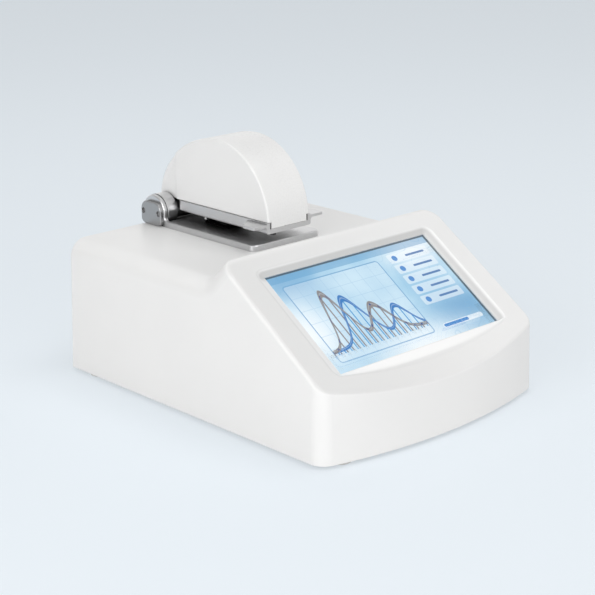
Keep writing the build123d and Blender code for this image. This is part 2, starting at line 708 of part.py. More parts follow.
def display_panel():
    """The display module behind the glass, with its thinner driver strip at the foot."""
    width, length = GLASS_WIDTH - 2 * PANEL_MARGIN, GLASS_LENGTH - 2 * PANEL_MARGIN
    module = in_panel(width, length, PANEL_DEPTH, BRACKET_DEPTH)
    strip_up = -(length - DRIVER_STRIP) / 2
    step = in_panel(
        width - 2 * DRIVER_STRIP, DRIVER_STRIP, BRACKET_DEPTH - PANEL_THICK / 2, BRACKET_DEPTH, 0, strip_up
    )
    return module - step


def display_bracket():
    """A sheet frame that holds the display against the shell, with a screw at each corner."""
    far = BRACKET_DEPTH + BRACKET_THICK
    width = 2 * (BRACKET_SCREW_X + COLUMN_RADIUS)
    plate = in_panel(width, GLASS_LENGTH - 2 * PANEL_MARGIN, BRACKET_DEPTH, far)
    window = in_panel(
        GLASS_WIDTH - 2 * BRACKET_WINDOW_MARGIN,
        GLASS_LENGTH - 2 * BRACKET_WINDOW_MARGIN,
        BRACKET_DEPTH,
        far,
    )
    side_gap = [
        in_panel(
            width / 2 - GLASS_WIDTH / 2 + PANEL_MARGIN,
            2 * (BRACKET_SCREW_UP - BRACKET_WINDOW_MARGIN),
            BRACKET_DEPTH,
            far,
            side * (width / 2 + GLASS_WIDTH / 2 - PANEL_MARGIN) / 2,
        )
        for side in (-1, 1)
    ]
    holes = [
        panel_rod(SCREW_RADIUS + SCREW_HOLE_GAP, BRACKET_DEPTH, far, x, up)
        for x, up in BRACKET_SCREWS
    ]
    return cut_all(plate, [window, *side_gap, *holes])


def display_screws():
    """Screws that hold the sheet frame to the shell's bosses."""
    far = BRACKET_DEPTH + BRACKET_THICK
    screws = []
    for x, up in BRACKET_SCREWS:
        shaft = panel_rod(SCREW_RADIUS, far - SCREW_BITE, far, x, up)
        screws.append(shaft + panel_rod(SCREW_HEAD_RADIUS, far, far + SCREW_HEAD_HEIGHT, x, up))
    return group(screws)


def board(x, y, width, length, z, holes):
    """A circuit board with its screw holes."""
    plate = block((x - width / 2, x + width / 2), (y - length / 2, y + length / 2), (z, z + BOARD_THICK))
    drilled = [post(SCREW_RADIUS + SCREW_HOLE_GAP, (z - 1, z + BOARD_THICK + 1), *at) for at in holes]
    return cut_all(plate, drilled)


def on_board(x, y, width, length, z, height):
    """A component that stands on a board."""
    return block((x - width / 2, x + width / 2), (y - length / 2, y + length / 2), (z, z + height))


def main_board():
    """The board that runs the screen and the measurement, with its larger parts."""
    plate = board(0, MAIN_BOARD_Y, MAIN_BOARD_WIDTH, MAIN_BOARD_LENGTH, BOARD_Z, MAIN_BOARD_HOLES)
    top = BOARD_Z + BOARD_THICK
    edge = MAIN_BOARD_WIDTH / 2 - 3 * BOARD_HOLE_INSET
    connector_x = edge - CONNECTOR_LENGTH / 2
    parts = [
        on_board(x, MAIN_BOARD_Y, CONNECTOR_WIDTH, CONNECTOR_LENGTH, top, CONNECTOR_HEIGHT)
        for x in (-connector_x, connector_x)
    ]
    parts += [on_board(-HEAT_SINK_SIDE, MAIN_BOARD_Y, CHIP_SIDE, CHIP_SIDE, top, CHIP_HEIGHT)]
    return joined([plate, *parts])


def heat_sink():
    """A finned heat sink on the main board's processor."""
    z = BOARD_Z + BOARD_THICK
    base = on_board(0, MAIN_BOARD_Y, HEAT_SINK_SIDE, HEAT_SINK_SIDE, z, HEAT_SINK_BASE)
    pitch = (HEAT_SINK_SIDE - FIN_THICK) / (HEAT_SINK_FINS - 1)
    fins = [
        on_board(
            (i - (HEAT_SINK_FINS - 1) / 2) * pitch,
            MAIN_BOARD_Y,
            FIN_THICK,
            HEAT_SINK_SIDE,
            z + HEAT_SINK_BASE,
            HEAT_SINK_HEIGHT - HEAT_SINK_BASE,
        )
        for i in range(HEAT_SINK_FINS)
    ]
    return joined([base, *fins])


def supply_board():
    """The board that charges the flash lamp, with its capacitor lying along it."""
    plate = board(
        SUPPLY_X, FRAME_MIDDLE, SUPPLY_BOARD_WIDTH, SUPPLY_BOARD_LENGTH, BOARD_Z, SUPPLY_HOLES
    )
    top = BOARD_Z + BOARD_THICK
    y = (FRAME_MIDDLE - CAPACITOR_LENGTH / 2, FRAME_MIDDLE + CAPACITOR_LENGTH / 2)
    tank = spindle(CAPACITOR_RADIUS, y, SUPPLY_X, top + CAPACITOR_RADIUS)
    seat = on_board(
        SUPPLY_X, FRAME_MIDDLE, CAPACITOR_RADIUS, CAPACITOR_LENGTH, top, CAPACITOR_RADIUS / 2
    )
    return joined([plate, seat, tank])


def board_screws():
    """Screws that hold the three boards to their standoffs."""
    low = [(x, y, BOARD_Z + BOARD_THICK) for x, y in MAIN_BOARD_HOLES + SUPPLY_HOLES]
    high = [(x, y, IO_BOARD_TOP) for x, y in IO_BOARD_HOLES]
    return group([screw(x, y, z, SCREW_BITE, up=False) for x, y, z in low + high])


def io_board():
    """The small board that carries the data ports."""
    width = IO_BOARD_X[1] - IO_BOARD_X[0]
    y = IO_BOARD_BACK - IO_BOARD_LENGTH / 2
    return board(sum(IO_BOARD_X) / 2, y, width, IO_BOARD_LENGTH, IO_BOARD_Z, IO_BOARD_HOLES)


def port(x, z, width, height, tongue_width, tongue_height):
    """A socket shell that opens to the back, with its contact tongue inside."""
    y = (IO_Y - USB_DEPTH, IO_Y)
    shell = centred(x, width / 2, y, z, height / 2)
    hollow = centred(
        x, width / 2 - USB_WALL, (y[0] + 2 * USB_WALL, y[1]), z, height / 2 - USB_WALL
    )
    tongue = centred(x, tongue_width / 2, (y[0], y[1] - 2 * USB_WALL), z, tongue_height / 2)
    return shell - hollow + tongue


def data_ports():
    """Two host ports and one device port."""
    hosts = [port(x, IO_Z, USB_WIDTH, USB_HEIGHT, *HOST_TONGUE) for x in USB_X]
    device = port(
        DEVICE_PORT_X, DEVICE_PORT_Z, DEVICE_PORT_WIDTH, DEVICE_PORT_HEIGHT, *DEVICE_TONGUE
    )
    return group([*hosts, device])


def power_inlet():
    """The round power socket in the back wall, with its centre pin."""
    body = spindle(INLET_RADIUS, (IO_Y - INLET_LENGTH, IO_Y), INLET_X, IO_Z)
    flange = spindle(INLET_FLANGE_RADIUS, (IO_Y, IO_Y + INLET_FLANGE), INLET_X, IO_Z)
    bore = spindle(
        INLET_BORE_RADIUS, (IO_Y - INLET_BORE_DEPTH, IO_Y + INLET_FLANGE), INLET_X, IO_Z
    )
    pin = spindle(INLET_PIN_RADIUS, (IO_Y - INLET_BORE_DEPTH, IO_Y), INLET_X, IO_Z)
    return body + flange - bore + pin


def switch_frame():
    """The snap-in housing of the power switch, with a flange on the recess face."""
    flange = centred(
        SWITCH_X,
        SWITCH_WIDTH / 2 + SWITCH_FLANGE_EDGE,
        (IO_Y, IO_Y + SWITCH_FLANGE),
        IO_Z,
        SWITCH_HEIGHT / 2 + SWITCH_FLANGE_EDGE,
    )
    outer = fillet(flange.edges().filter_by(Axis.Y), SWITCH_FLANGE_EDGE)
    can = centred(SWITCH_X, SWITCH_WIDTH / 2, (IO_Y - SWITCH_DEPTH, IO_Y), IO_Z, SWITCH_HEIGHT / 2)
    well = centred(
        SWITCH_X,
        ROCKER_WIDTH / 2 + PORT_GAP,
        (IO_Y - SWITCH_DEPTH + 2 * USB_WALL, IO_Y + SWITCH_FLANGE),
        IO_Z,
        SWITCH_WELL,
    )
    pivot = axle(
        ROCKER_PIN_RADIUS,
        (SWITCH_X - SWITCH_WIDTH / 2, SWITCH_X + SWITCH_WIDTH / 2),
        IO_Y - ROCKER_PIVOT_DEPTH,
        IO_Z,
    )
    return outer + can - well + pivot


def power_rocker():
    """The dished rocker, in its off position."""
    half = ROCKER_HEIGHT / 2
    side = make_face(
        Polyline(
            (ROCKER_REACH, -half),
            (ROCKER_REACH - ROCKER_DISH, 0),
            (ROCKER_REACH, half),
            (-ROCKER_KEEL, ROCKER_KEEL),
            (-ROCKER_KEEL, -ROCKER_KEEL),
            close=True,
        )
    )
    body = side_slab(side, (-ROCKER_WIDTH / 2, ROCKER_WIDTH / 2))
    body -= axle(ROCKER_PIN_RADIUS + RUNNING_GAP, (-ROCKER_WIDTH, ROCKER_WIDTH), 0, 0)
    at_rest = Rot(-ROCKER_TURN / 2, 0, 0) * body
    return Pos(SWITCH_X, IO_Y - ROCKER_PIVOT_DEPTH, IO_Z) * at_rest


def optics_frame():
    """A bent sheet frame that stands on the bottom cover and carries the stage plate."""
    half = FRAME_WIDTH / 2
    y = (FRAME_FRONT, FRAME_BACK)
    top = block((-half, half), y, (FRAME_UNDER_Z, FRAME_TOP_Z))
    legs = [
        block(sorted((side * half, side * (half - FRAME_THICK))), y, (BOARD_Z, FRAME_TOP_Z))
        for side in (-1, 1)
    ]
    flanges = [
        block(sorted((side * half, side * (half + FRAME_FLANGE))), y, (BOARD_Z, BOARD_Z + FRAME_THICK))
        for side in (-1, 1)
    ]
    frame = joined([top, *legs, *flanges])
    window = block(
        (-FRAME_WIDTH, FRAME_WIDTH),
        (FRAME_FRONT + 2 * FRAME_FLANGE, FRAME_BACK - 2 * FRAME_FLANGE),
        (FRAME_UNDER_Z - FRAME_FLANGE - FRAME_WINDOW_HEIGHT, FRAME_UNDER_Z - FRAME_FLANGE),
    )
    holes = [
        post(SCREW_RADIUS + SCREW_HOLE_GAP, (BOARD_Z - 1, BOARD_Z + FRAME_THICK + 1), *at)
        for at in FRAME_FEET
    ]
    holes += [
        post(SCREW_RADIUS + SCREW_HOLE_GAP, (FRAME_UNDER_Z - 1, FRAME_TOP_Z + 1), *at)
        for at in STAGE_SCREWS + BRIDGE_SCREWS
    ]
    passage = post(
        LOWER_PEDESTAL_RADIUS + BUSH_WALL / 2, (FRAME_UNDER_Z - 1, FRAME_TOP_Z + 1), 0, PEDESTAL_Y
    )
    return cut_all(frame, [window, passage, *holes])


STAGE_SCREWS = corners(
    0,
    (SPIGOT_FRONT + SPIGOT_BACK) / 2,
    SPIGOT_WIDTH / 2 - STAGE_SCREW_INSET,
    (SPIGOT_BACK - SPIGOT_FRONT) / 2 - STAGE_SCREW_INSET,
)
BRIDGE_HALF = MOTOR_SIDE / 2 + BRIDGE_GAP
BRIDGE_SCREWS = [
    (side * (BRIDGE_HALF + FRAME_FLANGE / 2), MOTOR_Y + end * MOTOR_SIDE / 4)
    for side in (-1, 1)
    for end in (-1, 1)
]


def frame_screws():
    """Screws of the frame's feet, of the stage plate and of the motor bridge."""
    feet = [screw(x, y, BOARD_Z + FRAME_THICK, SCREW_BITE, up=False) for x, y in FRAME_FEET]
    stage = [screw(x, y, FRAME_UNDER_Z, SCREW_BITE + FRAME_THICK) for x, y in STAGE_SCREWS]
    bridge = [
        screw(x, y, FRAME_UNDER_Z - BRIDGE_THICK, BRIDGE_THICK + FRAME_THICK)
        for x, y in BRIDGE_SCREWS
    ]
    return group([*feet, *stage, *bridge])


def spectrometer_box():
    """The milled box of the spectrometer, open at the top, with an entrance hole for the fibre."""
    half, z = SPECTROMETER_WIDTH / 2, (BOARD_Z, SPECTROMETER_TOP_Z)
    y = (SPECTROMETER_Y - SPECTROMETER_LENGTH / 2, SPECTROMETER_Y + SPECTROMETER_LENGTH / 2)
    box = block((-half, half), y, z)
    box = fillet(box.edges().filter_by(Axis.Z), SPECTROMETER_WALL)
    wall = SPECTROMETER_WALL
    hollow = block((wall - half, half - wall), (y[0] + wall, y[1] - wall), (z[0] + wall, z[1] + 1))
    corner_posts = [post(2 * wall, (z[0], z[1]), *at) for at in SPECTROMETER_FEET]
    box = box - hollow + (joined(corner_posts) & box)
    holes = [post(THREAD_RADIUS, (z[1] - SCREW_BITE, z[1] + 1), *at) for at in SPECTROMETER_FEET]
    feet = [post(THREAD_RADIUS, (z[0] - 1, z[0] + wall), *at) for at in SPECTROMETER_FEET]
    return cut_all(box, holes + feet)


LID_TOP_Z = SPECTROMETER_TOP_Z + SPECTROMETER_LID


def spectrometer_lid():
    """The plate that closes the spectrometer, with the port that the fibre screws into."""
    z = (LID_TOP_Z - SPECTROMETER_LID, LID_TOP_Z)
    half = SPECTROMETER_WIDTH / 2
    y = (SPECTROMETER_Y - SPECTROMETER_LENGTH / 2, SPECTROMETER_Y + SPECTROMETER_LENGTH / 2)
    lid = block((-half, half), y, z)
    lid = fillet(lid.edges().filter_by(Axis.Z), SPECTROMETER_WALL)
    lid += post(FIBRE_PORT_RADIUS, (z[1], z[1] + FIBRE_PORT_HEIGHT), 0, PEDESTAL_Y)
    bore = post(FIBRE_RADIUS + THREAD_GAP, (z[0] - 1, z[1] + FIBRE_PORT_HEIGHT + 1), 0, PEDESTAL_Y)
    holes = [
        post(SCREW_RADIUS + SCREW_HOLE_GAP, (z[0] - 1, z[1] + 1), *at) for at in SPECTROMETER_FEET
    ]
    return cut_all(lid, [bore, *holes])


def spectrometer_screws():
    """Screws that close the spectrometer."""
    return group([screw(x, y, LID_TOP_Z, SCREW_BITE, up=False) for x, y in SPECTROMETER_FEET])


CARRIAGE_Z = CARRIAGE_TOP_Z - CARRIAGE_THICK
FIBRE_TOP_Z = CARRIAGE_Z - NUT_DROP - REST_GAP


def lower_fibre():
    """The fibre from the lower pedestal down to the spectrometer."""
    fibre = post(FIBRE_RADIUS, (LID_TOP_Z, FIBRE_TOP_Z), 0, PEDESTAL_Y)
    nut_z = LID_TOP_Z + FIBRE_PORT_HEIGHT
    nut = Pos(0, PEDESTAL_Y, nut_z) * extrude(
        RegularPolygon(FIBRE_PORT_RADIUS, 6), amount=FIBRE_PORT_RADIUS
    )
    return fibre + nut


def lift_motor():
    """The small stepper motor that turns the lead screw."""
    z = (MOTOR_TOP_Z - MOTOR_LENGTH, MOTOR_TOP_Z)
    body = on_board(0, MOTOR_Y, MOTOR_SIDE, MOTOR_SIDE, z[0], MOTOR_LENGTH)
    body = chamfer(body.edges().filter_by(Axis.Z), MOTOR_CORNER)
    bore = post(LEAD_SCREW_RADIUS + RUNNING_GAP, (z[1] - MOTOR_BORE_DEPTH, z[1] + 1), 0, MOTOR_Y)
    return body - bore


def motor_bridge():
    """A bent sheet bridge that hangs from the frame and carries the motor's face."""
    y = (MOTOR_Y - MOTOR_SIDE / 2, MOTOR_Y + MOTOR_SIDE / 2)
    inner, outer = BRIDGE_HALF - BRIDGE_THICK, BRIDGE_HALF
    plate = block((-outer, outer), y, (MOTOR_TOP_Z, MOTOR_TOP_Z + BRIDGE_THICK))
    sides = [
        block(sorted((side * inner, side * outer)), y, (MOTOR_TOP_Z, FRAME_UNDER_Z))
        for side in (-1, 1)
    ]
    flanges = [
        block(
            sorted((side * inner, side * (outer + FRAME_FLANGE))),
            y,
            (FRAME_UNDER_Z - BRIDGE_THICK, FRAME_UNDER_Z),
        )
        for side in (-1, 1)
    ]
    bridge = joined([plate, *sides, *flanges])
    shaft = post(
        LEAD_SCREW_RADIUS + BRIDGE_THICK, (MOTOR_TOP_Z - 1, MOTOR_TOP_Z + BRIDGE_THICK + 1), 0, MOTOR_Y
    )
    holes = [
        post(SCREW_RADIUS + SCREW_HOLE_GAP, (FRAME_UNDER_Z - BRIDGE_THICK - 1, FRAME_UNDER_Z + 1), *at)
        for at in BRIDGE_SCREWS
    ]
    return cut_all(bridge, [shaft, *holes])


def lead_screw():
    """The lead screw, which runs in the motor and in the carriage's nut."""
    z = (MOTOR_TOP_Z - MOTOR_BORE_DEPTH + REST_GAP, FRAME_UNDER_Z - REST_GAP)
    shaft = post(LEAD_SCREW_RADIUS, z, 0, MOTOR_Y)
    return chamfer(shaft.edges().group_by(Axis.Z)[-1], LEAD_SCREW_CHAMFER)


def lift_carriage():
    """The arm that the lead screw raises, with its nut and the clamp of the lower pedestal."""
    half = CARRIAGE_WIDTH / 2
    z = (CARRIAGE_Z, CARRIAGE_TOP_Z)
    plate = block((-half, half), (MOTOR_Y, PEDESTAL_Y), z)
    ends = [post(half, z, 0, y) for y in (MOTOR_Y, PEDESTAL_Y)]
    nut = post(half - BRIDGE_THICK, (CARRIAGE_Z - NUT_DROP, CARRIAGE_Z), 0, MOTOR_Y)
    clamp = post(half - BRIDGE_THICK, (CARRIAGE_Z - NUT_DROP, CARRIAGE_Z), 0, PEDESTAL_Y)
    carriage = joined([plate, *ends, nut, clamp])
    through = (CARRIAGE_Z - NUT_DROP - 1, CARRIAGE_TOP_Z + 1)
    return cut_all(
        carriage,
        [
            post(LEAD_SCREW_RADIUS + RUNNING_GAP, through, 0, MOTOR_Y),
            post(LOWER_PEDESTAL_RADIUS + THREAD_GAP, through, 0, PEDESTAL_Y),
        ],
    )


def lower_pedestal():
    """The steel rod whose polished tip carries the drop."""
    low = CARRIAGE_Z - NUT_DROP
    rod = post(LOWER_PEDESTAL_RADIUS, (low, PEDESTAL_TOP_Z - TIP_LENGTH), 0, PEDESTAL_Y)
    tip = post(PEDESTAL_TIP_RADIUS, (PEDESTAL_TOP_Z - TIP_LENGTH, PEDESTAL_TOP_Z), 0, PEDESTAL_Y)
    return rod + tip


def guide_bush():
    """The bronze bush in the stage plate that the lower pedestal slides in."""
    z = (FRAME_TOP_Z, STAGE_Z)
    bush = post(LOWER_PEDESTAL_RADIUS + BUSH_WALL, z, 0, PEDESTAL_Y)
    return bush - post(LOWER_PEDESTAL_RADIUS + RUNNING_GAP, z, 0, PEDESTAL_Y)


def pedestal_block():
    """The black pad round the lower pedestal."""
    half = PEDESTAL_BLOCK_SIDE / 2
    z = (STAGE_Z, STAGE_Z + PEDESTAL_BLOCK_HEIGHT)
    pad = block((-half, half), (PEDESTAL_Y - half, PEDESTAL_Y + half), z)
    pad = chamfer(pad.edges().group_by(Axis.Z)[-1], PEDESTAL_BLOCK_CHAMFER)
    return pad - post(LOWER_PEDESTAL_RADIUS + SPIGOT_GAP, z, 0, PEDESTAL_Y)


def hinge_disc(radius):
    """A circle about the hinge, drawn in Y and Z."""
    return Pos(HINGE_Y, HINGE_Z) * Circle(radius)


def in_side(y, z):
    """A rectangle drawn in Y and Z between the two values of each."""
    return Pos((y[0] + y[1]) / 2, (z[0] + z[1]) / 2) * Rectangle(y[1] - y[0], z[1] - z[0])


def stage_plate():
    """The metal plate, lowered under the hinge, with two hinge ears and a spigot into the shell."""
    floor = block((-EAR_OUT, EAR_OUT), (STAGE_FRONT, STAGE_BACK), (TOP_Z, STAGE_Z))
    front = floor.edges().filter_by(Axis.Z).group_by(Axis.Y)[0]
    floor = fillet(front, STAGE_CORNER)
    pocket_front = HINGE_Y - HINGE_POCKET_FRONT
    pocket = block((-EAR_IN, EAR_IN), (pocket_front, BACK_Y), (TOP_Z + HINGE_POCKET_FLOOR, STAGE_Z))
    front_y = HINGE_Y - HINGE_DISC_RADIUS
    ear = hinge_disc(HINGE_DISC_RADIUS) + in_side((front_y, HINGE_Y), (TOP_Z, HINGE_Z))
    ear += in_side((front_y - 2 * EAR_ROUND, HINGE_Y), (TOP_Z, STAGE_Z))
    ear = fillet(ear.vertices().sort_by_distance((front_y, STAGE_Z, 0))[0], EAR_ROUND)
    ear &= in_side((front_y - 3 * EAR_ROUND, BACK_Y), (TOP_Z, HINGE_Z + HINGE_DISC_RADIUS))
    slab = side_slab(ear, (EAR_IN, EAR_OUT))
    outside = slab.faces().sort_by(Axis.X)[-1].outer_wire().edges()
    slab = chamfer(outside.filter_by(lambda e: e.center().Z > STAGE_Z - RUNNING_GAP), STAGE_CHAMFER)
    ears = [slab, mirror(slab, about=Plane.YZ)]
    spigot_half = SPIGOT_WIDTH / 2
    spigot = block((-spigot_half, spigot_half), (SPIGOT_FRONT, SPIGOT_BACK), (FRAME_TOP_Z, TOP_Z))
    top = floor.faces().sort_by(Axis.Z)[-1]
    rim = top.outer_wire().edges().filter_by(lambda e: e.center().Y < pocket_front)
    plate = joined([chamfer(rim, STAGE_CHAMFER) - pocket, *ears, spigot])
    threads = [
        post(THREAD_RADIUS, (FRAME_TOP_Z - 1, FRAME_TOP_Z + SCREW_BITE), *at) for at in STAGE_SCREWS
    ]
    bush = post(
        LOWER_PEDESTAL_RADIUS + BUSH_WALL + THREAD_GAP, (FRAME_TOP_Z - 1, STAGE_Z + 1), 0, PEDESTAL_Y
    )
    pin = axle(HINGE_PIN_RADIUS + THREAD_GAP, (-EAR_OUT - 1, EAR_OUT + 1), HINGE_Y, HINGE_Z)
    return cut_all(plate, [bush, pin, *threads])


def hinge_pins():
    """A short steel pin on each side, fixed in the ear and running in the arm's drum."""
    return mirrored_pair(axle(HINGE_PIN_RADIUS, (EAR_IN - HINGE_PIN_REACH, EAR_OUT), HINGE_Y, HINGE_Z))


def friction_washers():
    """A washer on each pin, between the ear and the drum."""
    x = (EAR_IN - WASHER_THICK, EAR_IN)
    washer = axle(WASHER_RADIUS, x, HINGE_Y, HINGE_Z)
    return mirrored_pair(washer - axle(HINGE_PIN_RADIUS + RUNNING_GAP, x, HINGE_Y, HINGE_Z))


def hinge_caps():
    """The D-shaped cap on the outside of each ear, with two spanner holes."""
    low = TOP_Z + REST_GAP
    outline = in_side((HINGE_Y - CAP_WIDTH / 2, HINGE_Y + CAP_WIDTH / 2), (low, low + CAP_HEIGHT))
    by_height = outline.vertices().sort_by(Axis.Y)
    outline = fillet(by_height[2:], CAP_TOP_ROUND)
    outline = fillet(outline.vertices().sort_by(Axis.Y)[:2], CAP_FOOT_ROUND)
    cap = side_slab(outline, (EAR_OUT, EAR_OUT + CAP_THICK))
    face = cap.faces().sort_by(Axis.X)[-1]
    cap = chamfer(face.outer_wire().edges(), CAP_CHAMFER)
    holes = [
        axle(
            SPANNER_HOLE_RADIUS,
            (EAR_OUT + CAP_THICK - SPANNER_HOLE_DEPTH, EAR_OUT + CAP_THICK + 1),
            HINGE_Y + side * SPANNER_HOLE_SPREAD,
            HINGE_Z,
        )
        for side in (-1, 1)
    ]
    return mirrored_pair(cut_all(cap, holes))


ARM_HALF = ARM_WIDTH / 2
ARM_BACK = HINGE_Y - ARM_NECK_LENGTH
STOP_SCREWS = [(side * STOP_SCREW_X, PEDESTAL_Y + STOP_SCREW_BEHIND) for side in (-1, 1)]
LOCATING_PINS = [
    (side * (ARM_HALF - LOCATING_PIN_FROM_SIDE), PEDESTAL_Y + STOP_SCREW_BEHIND)
    for side in (-1, 1)
]
COVER_SCREW_X = COVER_PLUG_WIDTH / 2 - COVER_BOSS_RADIUS - COVER_STEP
COVER_SCREWS = [
    (side * COVER_SCREW_X, y)
    for side in (-1, 1)
    for y in (ARM_FRONT + COVER_SCREW_INSET, ARM_BACK - COVER_BACK_SCREW_INSET)
]


def wing(side):
    """A finger wing beside the front of the arm, with a slanted back edge."""
    tip, root = side * (EAR_OUT + WING_OVERHANG), side * (ARM_HALF - ARM_WALL / 2)
    outline = make_face(
        Polyline(
            (root, ARM_FRONT),
            (tip, ARM_FRONT),
            (tip, ARM_FRONT + WING_TIP_LENGTH),
            (side * ARM_HALF, ARM_FRONT + WING_LENGTH),
            (root, ARM_FRONT + WING_LENGTH),
            close=True,
        )
    )
    outline = fillet(outline.vertices().sort_by_distance((tip, ARM_FRONT, 0))[0], WING_FRONT_ROUND)
    back = outline.vertices().sort_by_distance((tip, ARM_FRONT + WING_TIP_LENGTH, 0))[0]
    outline = fillet(back, WING_BACK_ROUND)
    plate = Pos(0, 0, WING_Z) * extrude(outline, amount=WING_THICK)
    y = (ARM_FRONT, ARM_FRONT + WING_LENGTH - WING_ROOT_ROUND)
    out = ARM_HALF + WING_ROOT_ROUND
    low = WING_Z - WING_ROOT_ROUND
    corner = block(sorted((side * (ARM_HALF - ARM_WALL / 2), side * out)), y, (low, WING_Z))
    return plate + corner - spindle(WING_ROOT_ROUND, y, side * out, low)


def drum():
    """The drum's side view: a hub with a larger sector over its front and top."""
    reach = 3 * DRUM_RADIUS
    start, end = radians(DRUM_BACK_ANGLE), radians(DRUM_FRONT_ANGLE)
    wedge = make_face(
        Polyline(
            (HINGE_Y, HINGE_Z),
            (HINGE_Y + reach * cos(start), HINGE_Z + reach * sin(start)),
            (HINGE_Y - reach, HINGE_Z + reach),
            (HINGE_Y + reach * cos(end), HINGE_Z + reach * sin(end)),
            close=True,
        )
    )
    return (hinge_disc(DRUM_RADIUS) & wedge) + hinge_disc(HUB_RADIUS)


def arm_base():
    """The metal channel of the arm, with finger wings in front and hinge drums behind."""
    z = (ARM_Z, ARM_WALL_TOP)
    channel = block((-ARM_HALF, ARM_HALF), (ARM_FRONT, ARM_BACK), z)
    channel = fillet(channel.edges().filter_by(Axis.Z).group_by(Axis.Y)[-1], ARM_CORNER)
    lower = channel.edges().filter_by(Axis.Y).group_by(Axis.Z)[0]
    channel = fillet(lower, ARM_EDGE_ROUND)
    neck_half = DRUM_IN - ARM_NECK_INSET
    neck = block((-neck_half, neck_half), (ARM_BACK - 2 * ARM_CORNER, HINGE_Y), z)
    inside, neck_inside = ARM_HALF - ARM_WALL, neck_half - ARM_WALL
    trough = block(
        (-inside, inside), (ARM_FRONT - 1, ARM_BACK - ARM_CORNER), (ARM_FLOOR_TOP, ARM_WALL_TOP + 1)
    )
    trough += block(
        (-neck_inside, neck_inside),
        (ARM_FRONT, HINGE_Y - HUB_RADIUS - ARM_WALL),
        (ARM_FLOOR_TOP, ARM_WALL_TOP + 1),
    )
    hub = axle(HUB_RADIUS, (-DRUM_OUT, DRUM_OUT), HINGE_Y, HINGE_Z)
    drums = [side_slab(drum(), (DRUM_IN, DRUM_OUT)), side_slab(drum(), (-DRUM_OUT, -DRUM_IN))]
    body = joined([channel + neck - trough, wing(-1), wing(1), hub, *drums])
    bores = [
        axle(
            HINGE_PIN_RADIUS + RUNNING_GAP,
            sorted((side * (DRUM_OUT + 1), side * (EAR_IN - HINGE_PIN_REACH - REST_GAP))),
            HINGE_Y,
            HINGE_Z,
        )
        for side in (-1, 1)
    ]
    through = (ARM_Z - 1, ARM_FLOOR_TOP + 1)
    holes = [post(UPPER_PEDESTAL_RADIUS + THREAD_GAP, through, 0, PEDESTAL_Y)]
    holes += [post(STOP_RADIUS + THREAD_GAP, through, *at) for at in STOP_SCREWS + LOCATING_PINS]
    holes += [post(SCREW_RADIUS + SCREW_HOLE_GAP, through, *at) for at in COVER_SCREWS]
    sink = (ARM_Z - 1, ARM_Z + SCREW_HEAD_HEIGHT)
    holes += [post(SCREW_HEAD_RADIUS + SCREW_HOLE_GAP, sink, *at) for at in COVER_SCREWS]
    return cut_all(body, bores + holes)


def cover_outline(inset, seat):
    """The cover's side view above a seat height: a front quarter circle and two arcs behind it."""
    turn = radians(COVER_TOP_TURN)
    middle_y = ARM_FRONT - COVER_SEAT_GAP + COVER_FRONT_RADIUS
    front = (middle_y, COVER_AXIS_Z)
    top = (middle_y, COVER_AXIS_Z + COVER_FRONT_RADIUS - COVER_TOP_RADIUS)
    shift = COVER_TOP_RADIUS - COVER_BACK_RADIUS
    back = (top[0] + shift * sin(turn), top[1] + shift * cos(turn))

    def at(centre, radius, angle):
        return (centre[0] + (radius - inset) * sin(angle), centre[1] + (radius - inset) * cos(angle))

    def arc(centre, radius, start, end):
        middle = (start + end) / 2
        return ThreePointArc(
            at(centre, radius, start), at(centre, radius, middle), at(centre, radius, end)
        )

    first = -acos((seat - front[1]) / (COVER_FRONT_RADIUS - inset))
    last = acos((seat - back[1]) / (COVER_BACK_RADIUS - inset))
    return make_face(
        [
            arc(front, COVER_FRONT_RADIUS, first, 0),
            arc(top, COVER_TOP_RADIUS, 0, turn),
            arc(back, COVER_BACK_RADIUS, turn, last),
            Line(at(back, COVER_BACK_RADIUS, last), at(front, COVER_FRONT_RADIUS, first)),
        ]
    )


